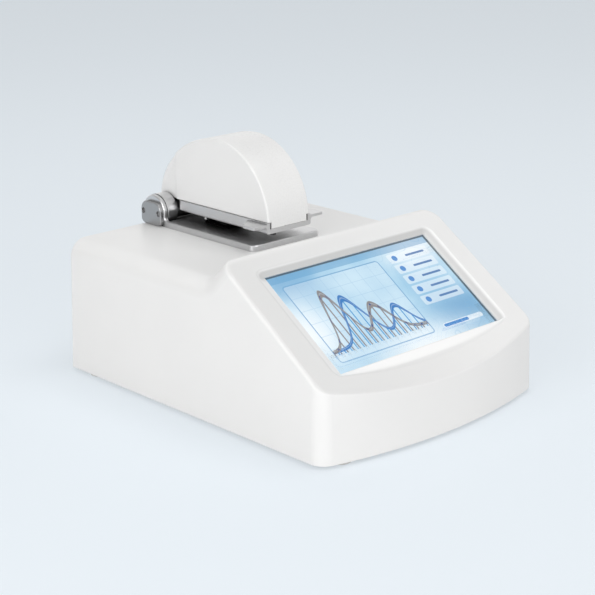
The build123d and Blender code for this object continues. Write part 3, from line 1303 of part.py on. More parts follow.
def arm_cover():
    """The white half disc over the arm, hollow, narrower beside the hinge, with a plug below."""
    half, narrow = COVER_WIDTH / 2, COVER_WIDTH / 2 - COVER_STEP
    step_y = HINGE_Y - COVER_STEP_FROM_HINGE
    outline = cover_outline(0, COVER_SEAT_Z)

    def slab(half_width, back_y):
        whole = side_slab(outline, (-half_width, half_width))
        whole &= block((-half_width, half_width), (0, back_y), (COVER_SEAT_Z, 2 * CREST_Z))
        faces = whole.faces().filter_by(Axis.X)
        rims = [e for f in faces for e in f.outer_wire().edges() if e.center().Z > COVER_SEAT_Z + 1]
        return fillet(rims, COVER_EDGE_ROUND)

    outer = slab(half, step_y) + slab(narrow, BACK_Y)
    plug_half = COVER_PLUG_WIDTH / 2
    plug = side_slab(cover_outline(0, ARM_FLOOR_TOP + COVER_SEAT_GAP), (-plug_half, plug_half))
    plug_back = ARM_BACK - 2 * ARM_CORNER
    plug &= block(
        (-plug_half, plug_half), (0, plug_back), (ARM_FLOOR_TOP, COVER_SEAT_Z + COVER_WALL)
    )
    hollow_outline = cover_outline(COVER_WALL, COVER_SEAT_Z)
    hollow = side_slab(hollow_outline, (COVER_WALL - narrow, narrow - COVER_WALL))
    hollow &= block((-half, half), (0, BACK_Y), (COVER_SEAT_Z + COVER_WALL, 2 * CREST_Z))
    mouth_half = plug_half - COVER_WALL
    mouth = block(
        (-mouth_half, mouth_half),
        (ARM_FRONT + 2 * COVER_WALL, plug_back - COVER_WALL),
        (ARM_FLOOR_TOP, COVER_SEAT_Z + 2 * COVER_WALL),
    )
    bosses = [
        post(COVER_BOSS_RADIUS, (ARM_FLOOR_TOP + COVER_SEAT_GAP, COVER_SEAT_Z + COVER_BOSS_RISE), *at)
        for at in COVER_SCREWS
    ]
    body = joined([outer + plug - hollow - mouth, *bosses])
    threads = [
        post(THREAD_RADIUS, (ARM_FLOOR_TOP, ARM_FLOOR_TOP + SCREW_BITE + 1), *at)
        for at in COVER_SCREWS
    ]
    return cut_all(body, threads)


def cover_screws():
    """Screws from below the arm into the cover's bosses."""
    z = ARM_Z + SCREW_HEAD_HEIGHT
    return group([screw(x, y, z, ARM_FLOOR + SCREW_BITE - SCREW_HEAD_HEIGHT) for x, y in COVER_SCREWS])


def upper_block():
    """The black block under the arm that holds the upper pedestal."""
    half = ARM_HALF - UPPER_BLOCK_FROM_SIDE
    z = (ARM_Z - UPPER_BLOCK_HEIGHT, ARM_Z)
    pad = block((-half, half), (PEDESTAL_Y - half, PEDESTAL_Y + half), z)
    pad = chamfer(pad.edges().group_by(Axis.Z)[0], PEDESTAL_BLOCK_CHAMFER)
    holes = [post(STOP_RADIUS + THREAD_GAP, z, *at) for at in STOP_SCREWS]
    return cut_all(pad, [post(UPPER_PEDESTAL_RADIUS + THREAD_GAP, z, 0, PEDESTAL_Y), *holes])


def upper_pedestal():
    """The steel ferrule in the arm, which ends one light path above the lower pedestal."""
    low = ARM_Z - UPPER_BLOCK_HEIGHT
    sleeve = post(UPPER_PEDESTAL_RADIUS, (low, ARM_FLOOR_TOP + SLEEVE_RISE), 0, PEDESTAL_Y)
    return sleeve + post(PEDESTAL_TIP_RADIUS, (PEDESTAL_TOP_Z + PATH_LENGTH, low), 0, PEDESTAL_Y)


LAMP_Z = ARM_FLOOR_TOP + LAMP_ABOVE_FLOOR
LAMP_BLOCK_WIDTH = COVER_WIDTH - 2 * LAMP_BLOCK_FROM_COVER


def lamp_block():
    """The block that holds the flash lamp over the upper pedestal."""
    half_x, half_y = LAMP_BLOCK_WIDTH / 2, LAMP_BLOCK_LENGTH / 2
    z = (ARM_FLOOR_TOP, ARM_FLOOR_TOP + LAMP_BLOCK_HEIGHT)
    body = block((-half_x, half_x), (PEDESTAL_Y - half_y, PEDESTAL_Y + half_y), z)
    body = chamfer(body.edges().group_by(Axis.Z)[-1], PEDESTAL_BLOCK_CHAMFER)
    sleeve = post(
        UPPER_PEDESTAL_RADIUS + THREAD_GAP, (z[0] - 1, z[0] + SLEEVE_RISE), 0, PEDESTAL_Y
    )
    light = post(PEDESTAL_TIP_RADIUS, (z[0], LAMP_Z), 0, PEDESTAL_Y)
    lamp = spindle(
        LAMP_RADIUS + THREAD_GAP, (PEDESTAL_Y - LAMP_LENGTH / 2, PEDESTAL_Y + half_y + 1), 0, LAMP_Z
    )
    return cut_all(body, [sleeve, light, lamp])


def flash_lamp():
    """The flash lamp in its block, with its socket behind."""
    y = (PEDESTAL_Y - LAMP_LENGTH / 2, PEDESTAL_Y + LAMP_BLOCK_LENGTH / 2)
    bulb = spindle(LAMP_RADIUS, y, 0, LAMP_Z)
    socket = spindle(LAMP_RADIUS + LAMP_SOCKET_EDGE, (y[1], y[1] + LAMP_SOCKET_LENGTH), 0, LAMP_Z)
    return bulb + socket


def lamp_board():
    """The trigger board in the arm, on two pillars in front of the lamp block."""
    front = ARM_FRONT + COVER_SCREW_INSET + COVER_BOSS_RADIUS + LAMP_BOARD_GAP
    y = (front, PEDESTAL_Y - LAMP_BLOCK_LENGTH / 2 - LAMP_BOARD_GAP)
    half = LAMP_BLOCK_WIDTH / 2
    z = ARM_FLOOR_TOP + STANDOFF_HEIGHT
    plate = block((-half, half), y, (z, z + BOARD_THICK))
    middle = sum(y) / 2
    pillars = [
        post(STANDOFF_RADIUS, (ARM_FLOOR_TOP, z), side * (half - BOARD_HOLE_INSET), middle)
        for side in (-1, 1)
    ]
    coil = on_board(0, middle, CHIP_SIDE, CHIP_SIDE, z + BOARD_THICK, CONNECTOR_HEIGHT)
    return joined([plate, coil, *pillars])


def stop_screws():
    """Two set screws in the arm's floor, whose tips come down on the lower pad."""
    z = (STAGE_Z + PEDESTAL_BLOCK_HEIGHT + REST_GAP, ARM_FLOOR_TOP - STOP_RADIUS)
    return group([post(STOP_RADIUS, z, *at) for at in STOP_SCREWS])


def locating_pins():
    """Two short pins pressed into the arm's floor from below."""
    z = (ARM_Z - LOCATING_PIN_DROP, ARM_FLOOR_TOP - STOP_RADIUS)
    return group([post(STOP_RADIUS, z, *at) for at in LOCATING_PINS])


def arm_bumpers():
    """The rubber pad under the front of the arm."""
    return post(BUMPER_RADIUS, (ARM_Z - BUMPER_HEIGHT, ARM_Z), BUMPER_X, ARM_FRONT + BUMPER_INSET)


NODES = {
    "top_housing": top_housing,
    "bottom_cover": bottom_cover,
    "rubber_feet": rubber_feet,
    "housing_screws": housing_screws,
    "touch_glass": touch_glass,
    "display_panel": display_panel,
    "display_bracket": display_bracket,
    "display_screws": display_screws,
    "main_board": main_board,
    "heat_sink": heat_sink,
    "supply_board": supply_board,
    "io_board": io_board,
    "board_screws": board_screws,
    "data_ports": data_ports,
    "power_inlet": power_inlet,
    "switch_frame": switch_frame,
    "power_rocker": power_rocker,
    "optics_frame": optics_frame,
    "frame_screws": frame_screws,
    "spectrometer_box": spectrometer_box,
    "spectrometer_lid": spectrometer_lid,
    "spectrometer_screws": spectrometer_screws,
    "lower_fibre": lower_fibre,
    "lift_motor": lift_motor,
    "motor_bridge": motor_bridge,
    "lead_screw": lead_screw,
    "lift_carriage": lift_carriage,
    "lower_pedestal": lower_pedestal,
    "guide_bush": guide_bush,
    "pedestal_block": pedestal_block,
    "stage_plate": stage_plate,
    "hinge_pins": hinge_pins,
    "friction_washers": friction_washers,
    "hinge_caps": hinge_caps,
    "arm_base": arm_base,
    "arm_cover": arm_cover,
    "cover_screws": cover_screws,
    "upper_block": upper_block,
    "upper_pedestal": upper_pedestal,
    "lamp_block": lamp_block,
    "flash_lamp": flash_lamp,
    "lamp_board": lamp_board,
    "stop_screws": stop_screws,
    "locating_pins": locating_pins,
    "arm_bumpers": arm_bumpers,
}

os.makedirs("parts", exist_ok=True)
for name, make in NODES.items():
    export_step(make(), f"parts/{name}.step")
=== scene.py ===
import json
import math

import bmesh
import bpy
from mathutils import Matrix, Vector


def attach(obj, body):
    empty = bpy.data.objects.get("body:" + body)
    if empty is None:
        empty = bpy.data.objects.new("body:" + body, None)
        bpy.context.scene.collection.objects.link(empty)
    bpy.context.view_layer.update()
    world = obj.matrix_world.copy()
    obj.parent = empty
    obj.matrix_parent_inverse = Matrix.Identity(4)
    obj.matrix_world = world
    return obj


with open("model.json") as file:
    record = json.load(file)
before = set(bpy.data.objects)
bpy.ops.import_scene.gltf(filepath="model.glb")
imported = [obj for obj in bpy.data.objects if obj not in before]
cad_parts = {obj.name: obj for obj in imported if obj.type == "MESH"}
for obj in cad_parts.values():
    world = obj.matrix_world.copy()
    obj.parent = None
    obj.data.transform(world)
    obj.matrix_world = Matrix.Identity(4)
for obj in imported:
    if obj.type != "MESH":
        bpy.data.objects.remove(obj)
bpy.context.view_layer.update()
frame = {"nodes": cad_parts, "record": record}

MM = 0.001

# Camera, fitted to the photograph
IMAGE_SIDE = 595
CAMERA_PLACE = (-0.7468, -0.7904, 0.4062)
CAMERA_BACK = (-0.6519, -0.6972, 0.2983)
CAMERA_UP = (0.2109, 0.2112, 0.9544)
CAMERA_FOCUS = 1589.451
CAMERA_CENTRE = (296.154, 294.354)
SENSOR = 36.0

# Screen panel, as part.py has it
SCREEN_Y = -81.0
SCREEN_Z = 82.1
SCREEN_TILT = math.radians(34.4)
SCREEN_HALF = (77.1, 42.95)
CREST_Y = -28.5
RECESS_HALF = (86.0, 52.0)
RECESS_DEPTH = 8.0

# Rocker of the power switch, as part.py has it, and the marks on it
ROCKER_PIVOT = (-62.0, 134.967, 32.5)
ROCKER_REST = math.radians(-8.0)
ROCKER_MIDDLE = 3.2
ROCKER_DISH = 1.4
ROCKER_HALF = 4.8
MARK_RADIUS = 1.3
MARK_LINE = 0.6
MARK_PROUD = 0.04
MARK_SINK = 0.3

# A screw's cross recess, drawn as a black cross of painted shade in its head
CROSS_LENGTH = 3.2
CROSS_WIDTH = 0.7

# Background, and the surround that metal and glass mirror
BACKGROUND = (0.83, 0.89, 0.94)
FLOOR = (0.80, 0.80, 0.80)
FLOOR_GLOW = 0.55
AMBIENT = 0.42
MIRRORED_LEFT = 0.30
MIRRORED_RIGHT = 1.05
MIRRORED_ABOVE = 0.45
FLOOR_RADIUS = 6.0

# Lamps: name, place, the point that it looks at, size and power in watts
LAMPS = (
    ("top", (0.25, 0.75, 1.35), (0, 0.02, 0.1), (0.8, 0.6), 2.0),
    ("right", (0.40, -0.40, 1.50), (0, 0, 0.08), (0.9, 0.7), 5.8),
    ("left", (-1.40, -0.30, 0.62), (0, 0, 0.06), (1.2, 0.8), 9.5),
    ("front", (-0.35, -1.5, 0.45), (0, 0, 0.05), (1.2, 0.6), 6.6),
)


class Graph:
    """A node tree, with short calls for the maths of a pattern."""

    def __init__(self, tree, coordinates):
        self.tree = tree
        self.place = self.node("ShaderNodeTexCoord").outputs[coordinates]

    def node(self, kind, **settings):
        node = self.tree.nodes.new(kind)
        for key, value in settings.items():
            setattr(node, key, value)
        return node

    def feed(self, socket, value):
        """Gives a socket another socket's value, or a plain one."""
        if isinstance(value, bpy.types.NodeSocket):
            self.tree.links.new(value, socket)
        else:
            socket.default_value = value

    def maths(self, operation, *values, clamp=False):
        node = self.node("ShaderNodeMath", operation=operation, use_clamp=clamp)
        for socket, value in zip(node.inputs, values):
            self.feed(socket, value)
        return node.outputs[0]

    def add(self, a, b):
        return self.maths("ADD", a, b)

    def less(self, a, b):
        return self.maths("SUBTRACT", a, b)

    def times(self, a, b):
        return self.maths("MULTIPLY", a, b)

    def most(self, *values):
        whole = values[0]
        for value in values[1:]:
            whole = self.maths("MAXIMUM", whole, value)
        return whole

    def along(self, direction, offset=0.0):
        """The distance along a direction, in millimetres."""
        node = self.node("ShaderNodeVectorMath", operation="DOT_PRODUCT")
        self.feed(node.inputs[0], self.place)
        node.inputs[1].default_value = [c / MM for c in direction]
        return self.less(node.outputs["Value"], offset)

    def ramp(self, value, low, high, start=0.0, end=1.0, smooth=True):
        """The value moved from one range to another."""
        node = self.node("ShaderNodeMapRange")
        node.interpolation_type = "SMOOTHSTEP" if smooth else "LINEAR"
        self.feed(node.inputs["Value"], value)
        self.feed(node.inputs["From Min"], low)
        self.feed(node.inputs["From Max"], high)
        self.feed(node.inputs["To Min"], start)
        self.feed(node.inputs["To Max"], end)
        return node.outputs["Result"]

    def within(self, distance, half, soft=0.12):
        """One where the distance is under half, and zero beyond it."""
        return self.ramp(self.maths("ABSOLUTE", distance), half - soft, half + soft, 1.0, 0.0)

    def mix(self, factor, a, b):
        node = self.node("ShaderNodeMix", data_type="RGBA")
        self.feed(node.inputs["Factor"], factor)
        for socket, value in ((node.inputs[6], a), (node.inputs[7], b)):
            if not isinstance(value, bpy.types.NodeSocket):
                value = (*value, 1.0)
            self.feed(socket, value)
        return node.outputs[2]

    def noise(self, scale, detail=3.0, stretch=(1, 1, 1), roughness=0.5):
        """Noise whose scale is in waves for each metre."""
        mapping = self.node("ShaderNodeMapping")
        self.feed(mapping.inputs["Vector"], self.place)
        mapping.inputs["Scale"].default_value = stretch
        node = self.node("ShaderNodeTexNoise")
        self.feed(node.inputs["Vector"], mapping.outputs["Vector"])
        node.inputs["Scale"].default_value = scale
        node.inputs["Detail"].default_value = detail
        node.inputs["Roughness"].default_value = roughness
        return node.outputs["Fac"]

    def bump(self, height, distance, strength=1.0, after=None):
        node = self.node("ShaderNodeBump")
        node.inputs["Strength"].default_value = strength
        node.inputs["Distance"].default_value = distance
        self.feed(node.inputs["Height"], height)
        if after is not None:
            self.feed(node.inputs["Normal"], after)
        return node.outputs["Normal"]

    def hollows(self, reach, low, openness):
        """An ambient occlusion factor for painted shade: one on faces with some openness, less in hollows
        and gaps, down to a low value.
        """
        node = self.node("ShaderNodeAmbientOcclusion", samples=8)
        node.inputs["Distance"].default_value = reach * MM
        return self.ramp(node.outputs["AO"], 0.15, openness, low, 1.0)

    def shaded(self, factor, colour):
        """The colour times a factor."""
        return self.mix(factor, (0.0, 0.0, 0.0), colour)

    def soft_edge(self, radius):
        """The normal with every edge rounded by a radius in millimetres."""
        if radius is None:
            return None
        node = self.node("ShaderNodeBevel", samples=6)
        node.inputs["Radius"].default_value = radius * MM
        return node.outputs["Normal"]


class Surface(Graph):
    """A new material's nodes, up to its shader."""

    def __init__(self, name):
        self.material = bpy.data.materials.new(name)
        self.material.use_nodes = True
        super().__init__(self.material.node_tree, "Object")
        self.shader = self.tree.nodes["Principled BSDF"]

    def finish(self, colour=None, roughness=None, normal=None, **plain):
        """Feeds the shader. Plain settings go on its own sockets."""
        for name, value in (("Base Color", colour), ("Roughness", roughness), ("Normal", normal)):
            if value is not None:
                if isinstance(value, tuple):
                    value = (*value, 1.0)
                self.feed(self.shader.inputs[name], value)
        for name, value in plain.items():
            socket = self.shader.inputs[name.replace("_", " ")]
            socket.default_value = (*value, 1.0) if isinstance(value, tuple) else value
        return self.material


def shade(colour, factor):
    """A plain colour times a factor."""
    return tuple(c * factor for c in colour)


def moulded(name, colour, roughness, grain, depth, vary=0.03, panel=None, crease_shade=None, shine=0.5):
    """Moulded plastic: a fine spark-eroded grain and slow changes of tone and gloss. With a panel colour,
    the screen's frame and recess get a grey tint with painted shade and a painted highlight; with crease
    settings, the colour is darkened in hollows and gaps as painted shade.
    """
    g = Surface(name)
    slow = g.noise(14.0, 2.0)
    fine = g.noise(grain, 2.0)
    tone = g.mix(g.ramp(slow, 0.3, 0.7), shade(colour, 1 - vary), colour)
    # Painted shade and a painted highlight round the screen, over a greyer front panel.
    if panel:
        grey, low_wall_highlight = frame_grey_shade_and_highlight(g)
        tone = g.mix(low_wall_highlight, g.mix(grey, tone, panel), shade(colour, 1.14))
    # Painted shade: the colour darkened in hollows and gaps.
    if crease_shade:
        tone = g.shaded(g.hollows(*crease_shade), tone)
    both = g.add(g.times(slow, 0.5), g.times(fine, 0.5))
    gloss = g.ramp(both, 0.3, 0.7, roughness - 0.05, roughness + 0.05)
    return g.finish(tone, gloss, g.bump(fine, depth), Specular_IOR_Level=shine)


def frame_grey_shade_and_highlight(g):
    """Masks round the screen: the frame greyer at the left, partly a greyer front panel and partly painted
    shade fading toward the right; painted shade on the recess's top and right walls; and a painted
    highlight on the lower recess wall.
    """
    up = (0, math.cos(SCREEN_TILT), math.sin(SCREEN_TILT))
    out = (0, -up[2], up[1])
    height = g.along(out, SCREEN_Y * out[1] + SCREEN_Z * out[2])
    across, upward = g.along((1, 0, 0)), g.along(up, SCREEN_Y * up[1] + SCREEN_Z * up[2])
    before_crest = g.ramp(g.along((0, 1, 0)), CREST_Y, CREST_Y - 5.0)
    on_face = g.times(g.ramp(height, -1.0, -0.1), before_crest)
    # Painted shade over a greyer front panel: the frame face is greyest at the left and fades out toward
    # the right.
    face = g.times(on_face, g.ramp(across, -110.0, 70.0, 0.42, 0.0, smooth=False))
    deep = g.times(g.ramp(height, -0.2, -1.2), g.ramp(height, -RECESS_DEPTH - 1.0, -RECESS_DEPTH))
    opening = g.times(g.within(across, RECESS_HALF[0], 1.0), g.within(upward, RECESS_HALF[1], 1.0))
    inside = g.times(deep, opening)
    # Painted shade on the recess's top and right walls.
    recess_wall_shade = g.times(g.most(g.ramp(across, 74.0, 80.0), g.ramp(upward, 38.0, 44.0)), 0.8)
    # The first mask joins the frame's grey and the painted wall shade; the second is a painted highlight on
    # the lower recess wall.
    return g.most(face, g.times(inside, recess_wall_shade)), g.times(inside, g.ramp(upward, -43.5, -44.0))


def blasted(name, colour, roughness=0.36, grain=3200.0, depth=0.00003, streak=None, edge=None, crease_shade=None):
    """Bead blasted metal with a clear finish, or brushed along one way. With crease settings, its colour is
    darkened in hollows and gaps as painted shade.
    """
    g = Surface(name)
    fine = g.noise(grain, 3.0, streak or (1, 1, 1))
    slow = g.noise(30.0, 3.0)
    cloud = g.add(g.times(slow, 0.6), g.times(fine, 0.4))
    tone = g.mix(g.ramp(cloud, 0.35, 0.65), shade(colour, 0.97), colour)
    # Painted shade: the colour darkened in hollows and gaps, such as under the arm.
    if crease_shade:
        tone = g.shaded(g.hollows(*crease_shade), tone)
    gloss = g.ramp(cloud, 0.3, 0.7, roughness - 0.03, roughness + 0.03)
    return g.finish(tone, gloss, g.bump(fine, depth, after=g.soft_edge(edge)), Metallic=1.0)


def turned(name, colour, roughness, axis, centre, pitch=0.35, depth=0.00002, edge=None):
    """A face turned on a lathe: fine rings round an axis."""
    g = Surface(name)
    split = g.node("ShaderNodeSeparateXYZ")
    g.feed(split.inputs[0], g.place)
    squares = []
    for i in (n for n in range(3) if n != axis):
        offset = g.less(split.outputs[i], centre[i] * MM)
        squares.append(g.times(offset, offset))
    radius = g.maths("SQRT", g.add(*squares))
    rings = g.maths("SINE", g.times(radius, 2 * math.pi / (pitch * MM)))
    fine = g.noise(2600.0, 3.0)
    height = g.add(g.times(rings, 0.5), fine)
    tone = g.mix(g.ramp(height, -0.2, 1.2), shade(colour, 0.9), colour)
    gloss = g.ramp(fine, 0.3, 0.7, roughness - 0.05, roughness + 0.08)
    return g.finish(tone, gloss, g.bump(height, depth, after=g.soft_edge(edge)), Metallic=1.0)


def rubber(name, colour, roughness=0.75):
    """Matt rubber with dust in its grain."""
    g = Surface(name)
    fine = g.noise(2400.0, 4.0)
    dust = g.ramp(g.noise(90.0, 4.0), 0.45, 0.75)
    tone = g.mix(g.times(dust, 0.5), colour, tuple(min(1.0, c + 0.05) for c in colour))
    return g.finish(tone, g.ramp(fine, 0.3, 0.7, roughness - 0.08, roughness + 0.1), g.bump(fine, 0.00004))


def glass():
    """The touch glass: clear, with the faintest smear in its gloss."""
    g = Surface("touch_glass")
    smear = g.ramp(g.noise(22.0, 3.0), 0.4, 0.8, 0.01, 0.05)
    return g.finish((1.0, 1.0, 1.0), smear, Transmission_Weight=1.0, IOR=1.3)


def circuit():
    """A circuit board: green mask over copper tracks, with darker parts above it."""
    g = Surface("circuit")
    u, v = g.along((1, 0, 0)), g.along((0, 1, 0))
    bend = g.times(g.ramp(g.noise(60.0, 1.0), 0.45, 0.55), 4.0)
    lengthwise = g.less(g.maths("PINGPONG", g.add(u, bend), 1.0), 0.5)
    crosswise = g.less(g.maths("PINGPONG", g.add(v, 0.3), 2.5), 1.2)
    tracks = g.most(g.within(lengthwise, 0.18), g.within(crosswise, 0.15))
    green, copper = (0.010, 0.075, 0.030), (0.030, 0.16, 0.055)
    return g.finish(g.mix(tracks, green, copper), 0.35, g.bump(tracks, 0.00003))


def display():
    """The lit screen: a pale blue field with measured curves over a grid, result tiles and a bar."""
    g = Surface("display")
    u = g.along((1, 0, 0))
    up = (0, math.cos(SCREEN_TILT), math.sin(SCREEN_TILT))
    v = g.along(up, SCREEN_Y * up[1] + SCREEN_Z * up[2])

    def bell(centre, width, height):
        x = g.times(g.less(u, centre), 1.0 / width)
        return g.times(g.maths("EXPONENT", g.times(g.times(x, x), -1.0)), height)

    def tile(centre_u, centre_v, half_u, half_v, round_corner, wrapped=None):
        across = g.less(g.maths("ABSOLUTE", g.less(u, centre_u)), half_u - round_corner)
        upward = g.less(wrapped if wrapped is not None else v, centre_v)
        upward = g.less(g.maths("ABSOLUTE", upward), half_v - round_corner)
        outer_u, outer_v = g.maths("MAXIMUM", across, 0.0), g.maths("MAXIMUM", upward, 0.0)
        outer = g.maths("SQRT", g.add(g.times(outer_u, outer_u), g.times(outer_v, outer_v)))
        inner = g.maths("MINIMUM", g.maths("MAXIMUM", across, upward), 0.0)
        return g.less(g.add(outer, inner), round_corner)

    def filled(distance, soft=0.15):
        return g.ramp(distance, -soft, soft, 1.0, 0.0)

    def glow(centre_u, centre_v, size_u, size_v):
        """A soft bright patch."""
        x = g.times(g.less(u, centre_u), 1.0 / size_u)
        y = g.times(g.less(v, centre_v), 1.0 / size_v)
        return g.maths("EXPONENT", g.times(g.add(g.times(x, x), g.times(y, y)), -1.0))

    # Background: blue clouds with bright patches
    white, sky, sea = (0.90, 0.95, 0.98), (0.32, 0.58, 0.78), (0.09, 0.31, 0.57)
    cloud = g.noise(22.0, 3.0)
    field = g.mix(g.ramp(cloud, 0.35, 0.75), sky, (0.52, 0.74, 0.88))
    field = g.mix(g.times(glow(62.0, -22.0, 30.0, 18.0), 0.75), field, sea)
    field = g.mix(g.times(glow(-66.0, 36.0, 34.0, 16.0), 0.55), field, sea)
    for patch in ((60.0, 40.0, 30.0, 20.0), (-74.0, -8.0, 20.0, 26.0), (8.0, -44.0, 46.0, 18.0)):
        field = g.mix(g.times(glow(*patch), 0.95), field, white)

    # Faint contour rings behind everything
    rings = g.maths("PINGPONG", g.times(g.noise(30.0, 1.0), 14.0), 0.5)
    rings = g.ramp(rings, 0.0, 0.07, 1.0, 0.0)
    field = g.mix(g.times(g.times(rings, g.ramp(u, -10.0, 50.0)), 0.35), field, (0.22, 0.48, 0.70))

    # The chart: a paler field with a grid
    chart_box = tile(-24.0, -1.0, 45.0, 34.0, 2.5)
    chart = filled(chart_box)
    lines = g.most(
        g.within(g.maths("PINGPONG", g.add(u, 69.0), 5.625), 0.18),
        g.within(g.maths("PINGPONG", g.add(v, 35.0), 5.667), 0.18),
    )
    field = g.mix(g.times(chart, 0.22), field, (0.88, 0.94, 0.98))
    field = g.mix(g.times(g.times(lines, chart), 0.40), field, (0.20, 0.45, 0.68))
    field = g.mix(g.times(g.within(chart_box, 0.45), 0.8), field, (0.12, 0.34, 0.60))

    # Columns under the tallest curve
    silver, blue, deep = (0.24, 0.22, 0.22), (0.01, 0.17, 0.50), (0.01, 0.05, 0.25)
    base = g.add(v, 29.0)
    tall = g.add(bell(-44.0, 10.0, 46.0), g.add(bell(-12.0, 12.0, 27.0), 3.0))
    under = g.times(g.ramp(base, -0.1, 0.1), g.ramp(g.less(base, tall), -0.9, -0.6, 1.0, 0.0))
    stripe = g.maths("PINGPONG", g.add(u, 69.0), 2.8125)
    field = g.mix(g.times(g.times(under, g.within(stripe, 0.55)), chart), field, silver)
    late = g.add(bell(-31.0, 12.0, 38.0), g.add(bell(5.0, 10.0, 21.0), 3.0))
    below = g.times(g.ramp(base, -0.1, 0.1), g.ramp(g.less(base, late), -0.9, -0.6, 1.0, 0.0))
    offset = g.maths("PINGPONG", g.add(u, 70.9), 2.8125)
    field = g.mix(g.times(g.times(below, g.within(offset, 0.50)), chart), field, (0.04, 0.32, 0.66))

    # The curves, with a dark bead at each column of the first
    for height, colour, width in ((late, blue, 1.5), (tall, silver, 1.6)):
        above = g.less(base, height)
        slope = g.ramp(height, 3.0, 44.0, 1.0, 2.3)
        full, gone = g.times(slope, width * 0.75), g.times(slope, width)
        line = g.ramp(g.maths("ABSOLUTE", above), full, gone, 1.0, 0.0)
        field = g.mix(g.times(line, chart), field, colour)
        shine = g.ramp(g.maths("ABSOLUTE", g.less(above, 0.3)), 0.0, g.times(slope, 0.45), 1.0, 0.0)
        field = g.mix(g.times(g.times(shine, chart), 0.40), field, (0.60, 0.70, 0.80))
    bead = g.add(g.times(stripe, stripe), g.times(g.less(base, tall), g.less(base, tall)))
    field = g.mix(g.times(g.ramp(bead, 0.5, 0.9, 1.0, 0.0), chart), field, deep)

    # Result tiles at the right, each with a dot and two bars
    row = g.maths("PINGPONG", g.add(v, 24.0), 10.0)
    column = filled(tile(51.5, 11.0, 21.5, 25.5, 1.0))
    tiles = g.times(filled(tile(51.5, 5.0, 20.0, 4.1, 1.4, row)), column)
    field = g.mix(g.times(tiles, 0.45), field, (0.93, 0.97, 1.0))
    for centre_u, half_u, half_v, colour in (
        (58.0, 9.5, 0.9, (0.02, 0.14, 0.40)),
        (37.5, 2.4, 2.4, (0.01, 0.20, 0.58)),
    ):
        mark = filled(tile(centre_u, 5.0, half_u, half_v, half_v - 0.1, row))
        field = g.mix(g.times(g.times(mark, column), 0.9), field, colour)

    # A title bar, a progress bar and a painted shadow: a dark edge along the top and at the right of the
    # field, where the recess lip shades it
    field = g.mix(g.times(g.ramp(v, 36.6, 36.9), 0.55), field, (0.10, 0.33, 0.58))
    field = g.mix(g.times(filled(tile(51.5, -33.0, 20.0, 2.0, 1.9)), 0.8), field, white)
    field = g.mix(filled(tile(44.5, -33.0, 12.4, 1.3, 1.2)), field, (0.01, 0.20, 0.58))
    edge = g.most(g.ramp(v, SCREEN_HALF[1] - 0.8, SCREEN_HALF[1] - 0.4), g.ramp(u, 76.2, 76.6))
    field = g.mix(g.times(edge, 0.8), field, (0.05, 0.055, 0.06))
    g.feed(g.shader.inputs["Emission Color"], field)
    return g.finish((0.02, 0.025, 0.03), 0.4, Emission_Strength=1.0)


def ports():
    """The socket shells, in plated sheet, with black contact tongues."""
    g = Surface("ports")
    fine = g.noise(1800.0, 3.0, (1, 0.1, 1))
    across, height = g.along((1, 0, 0)), g.along((0, 0, 1))
    host = g.times(g.within(g.less(height, 32.5), 1.15, 0.02), g.ramp(across, 21.0, 22.0, 1.0, 0.0))
    device = g.times(g.within(g.less(height, 34.5), 1.8, 0.02), g.within(g.less(across, 29.0), 3.15, 0.02))
    tongue = g.times(g.most(host, device), g.ramp(g.along((0, 1, 0)), 136.6, 136.7, 1.0, 0.0))
    tone = g.mix(fine, (0.52, 0.52, 0.53), (0.64, 0.64, 0.65))
    g.feed(g.shader.inputs["Metallic"], g.less(1.0, tongue))
    return g.finish(g.mix(tongue, tone, (0.015, 0.015, 0.018)), 0.3, g.bump(fine, 0.00001))


WHITE = (0.86, 0.86, 0.855)
# Grey for the screen's frame and recess walls: partly a greyer front panel, partly painted shade.
PANEL_GREY_AND_SHADE = (0.54, 0.54, 0.535)
HINGE = (0.0, 128.6, 110.5)
PEDESTAL = (0.0, 80.0, 0.0)
FINISH = {
    # The housing's screen frame and recess carry painted shade and a painted highlight.
    "housing": moulded("housing", WHITE, 0.38, 2600.0, 0.000014, 0.02, PANEL_GREY_AND_SHADE),
    "cover_white": moulded(
        "cover_white",
        (0.84, 0.84, 0.835),
        0.30,
        1900.0,
        0.000006,
        0.015,
        # Painted shade in the cover's hollows and gaps.
        crease_shade=(3.5, 0.55, 0.92),
        shine=0.6,
    ),
    "bottom_plastic": moulded("bottom_plastic", (0.55, 0.55, 0.55), 0.6, 1500.0, 0.00005),
    "foot_rubber": rubber("foot_rubber", (0.62, 0.62, 0.60)),
    "bumper_rubber": rubber("bumper_rubber", (0.025, 0.025, 0.026)),
    # Painted shade in hollows and gaps, strong under the arm.
    "satin_metal": blasted(
        "satin_metal", (0.70, 0.70, 0.705), 0.34, 1400.0, 0.0000008, (1, 0.2, 1), 0.4, (12.0, 0.22, 0.62)
    ),
    "cap_metal": turned("cap_metal", (0.44, 0.44, 0.445), 0.34, 0, HINGE, depth=0.000002, edge=0.5),
    "black_metal": blasted("black_metal", (0.004, 0.004, 0.004), 0.55),
    "sheet_metal": blasted("sheet_metal", (0.55, 0.56, 0.57), 0.32, 900.0, 0.00002, (1, 0.05, 1)),
    "steel": turned("steel", (0.58, 0.58, 0.58), 0.22, 2, PEDESTAL, 0.2),
    "bronze": blasted("bronze", (0.48, 0.28, 0.10), 0.4, 2200.0),
    "glass": glass(),
    "display": display(),
    "circuit": circuit(),
    "black_plastic": moulded("black_plastic", (0.02, 0.02, 0.021), 0.5, 1800.0, 0.00003),
    "lamp_glass": moulded("lamp_glass", (0.75, 0.78, 0.80), 0.15, 900.0, 0.00001),
}
PORTS = ports()

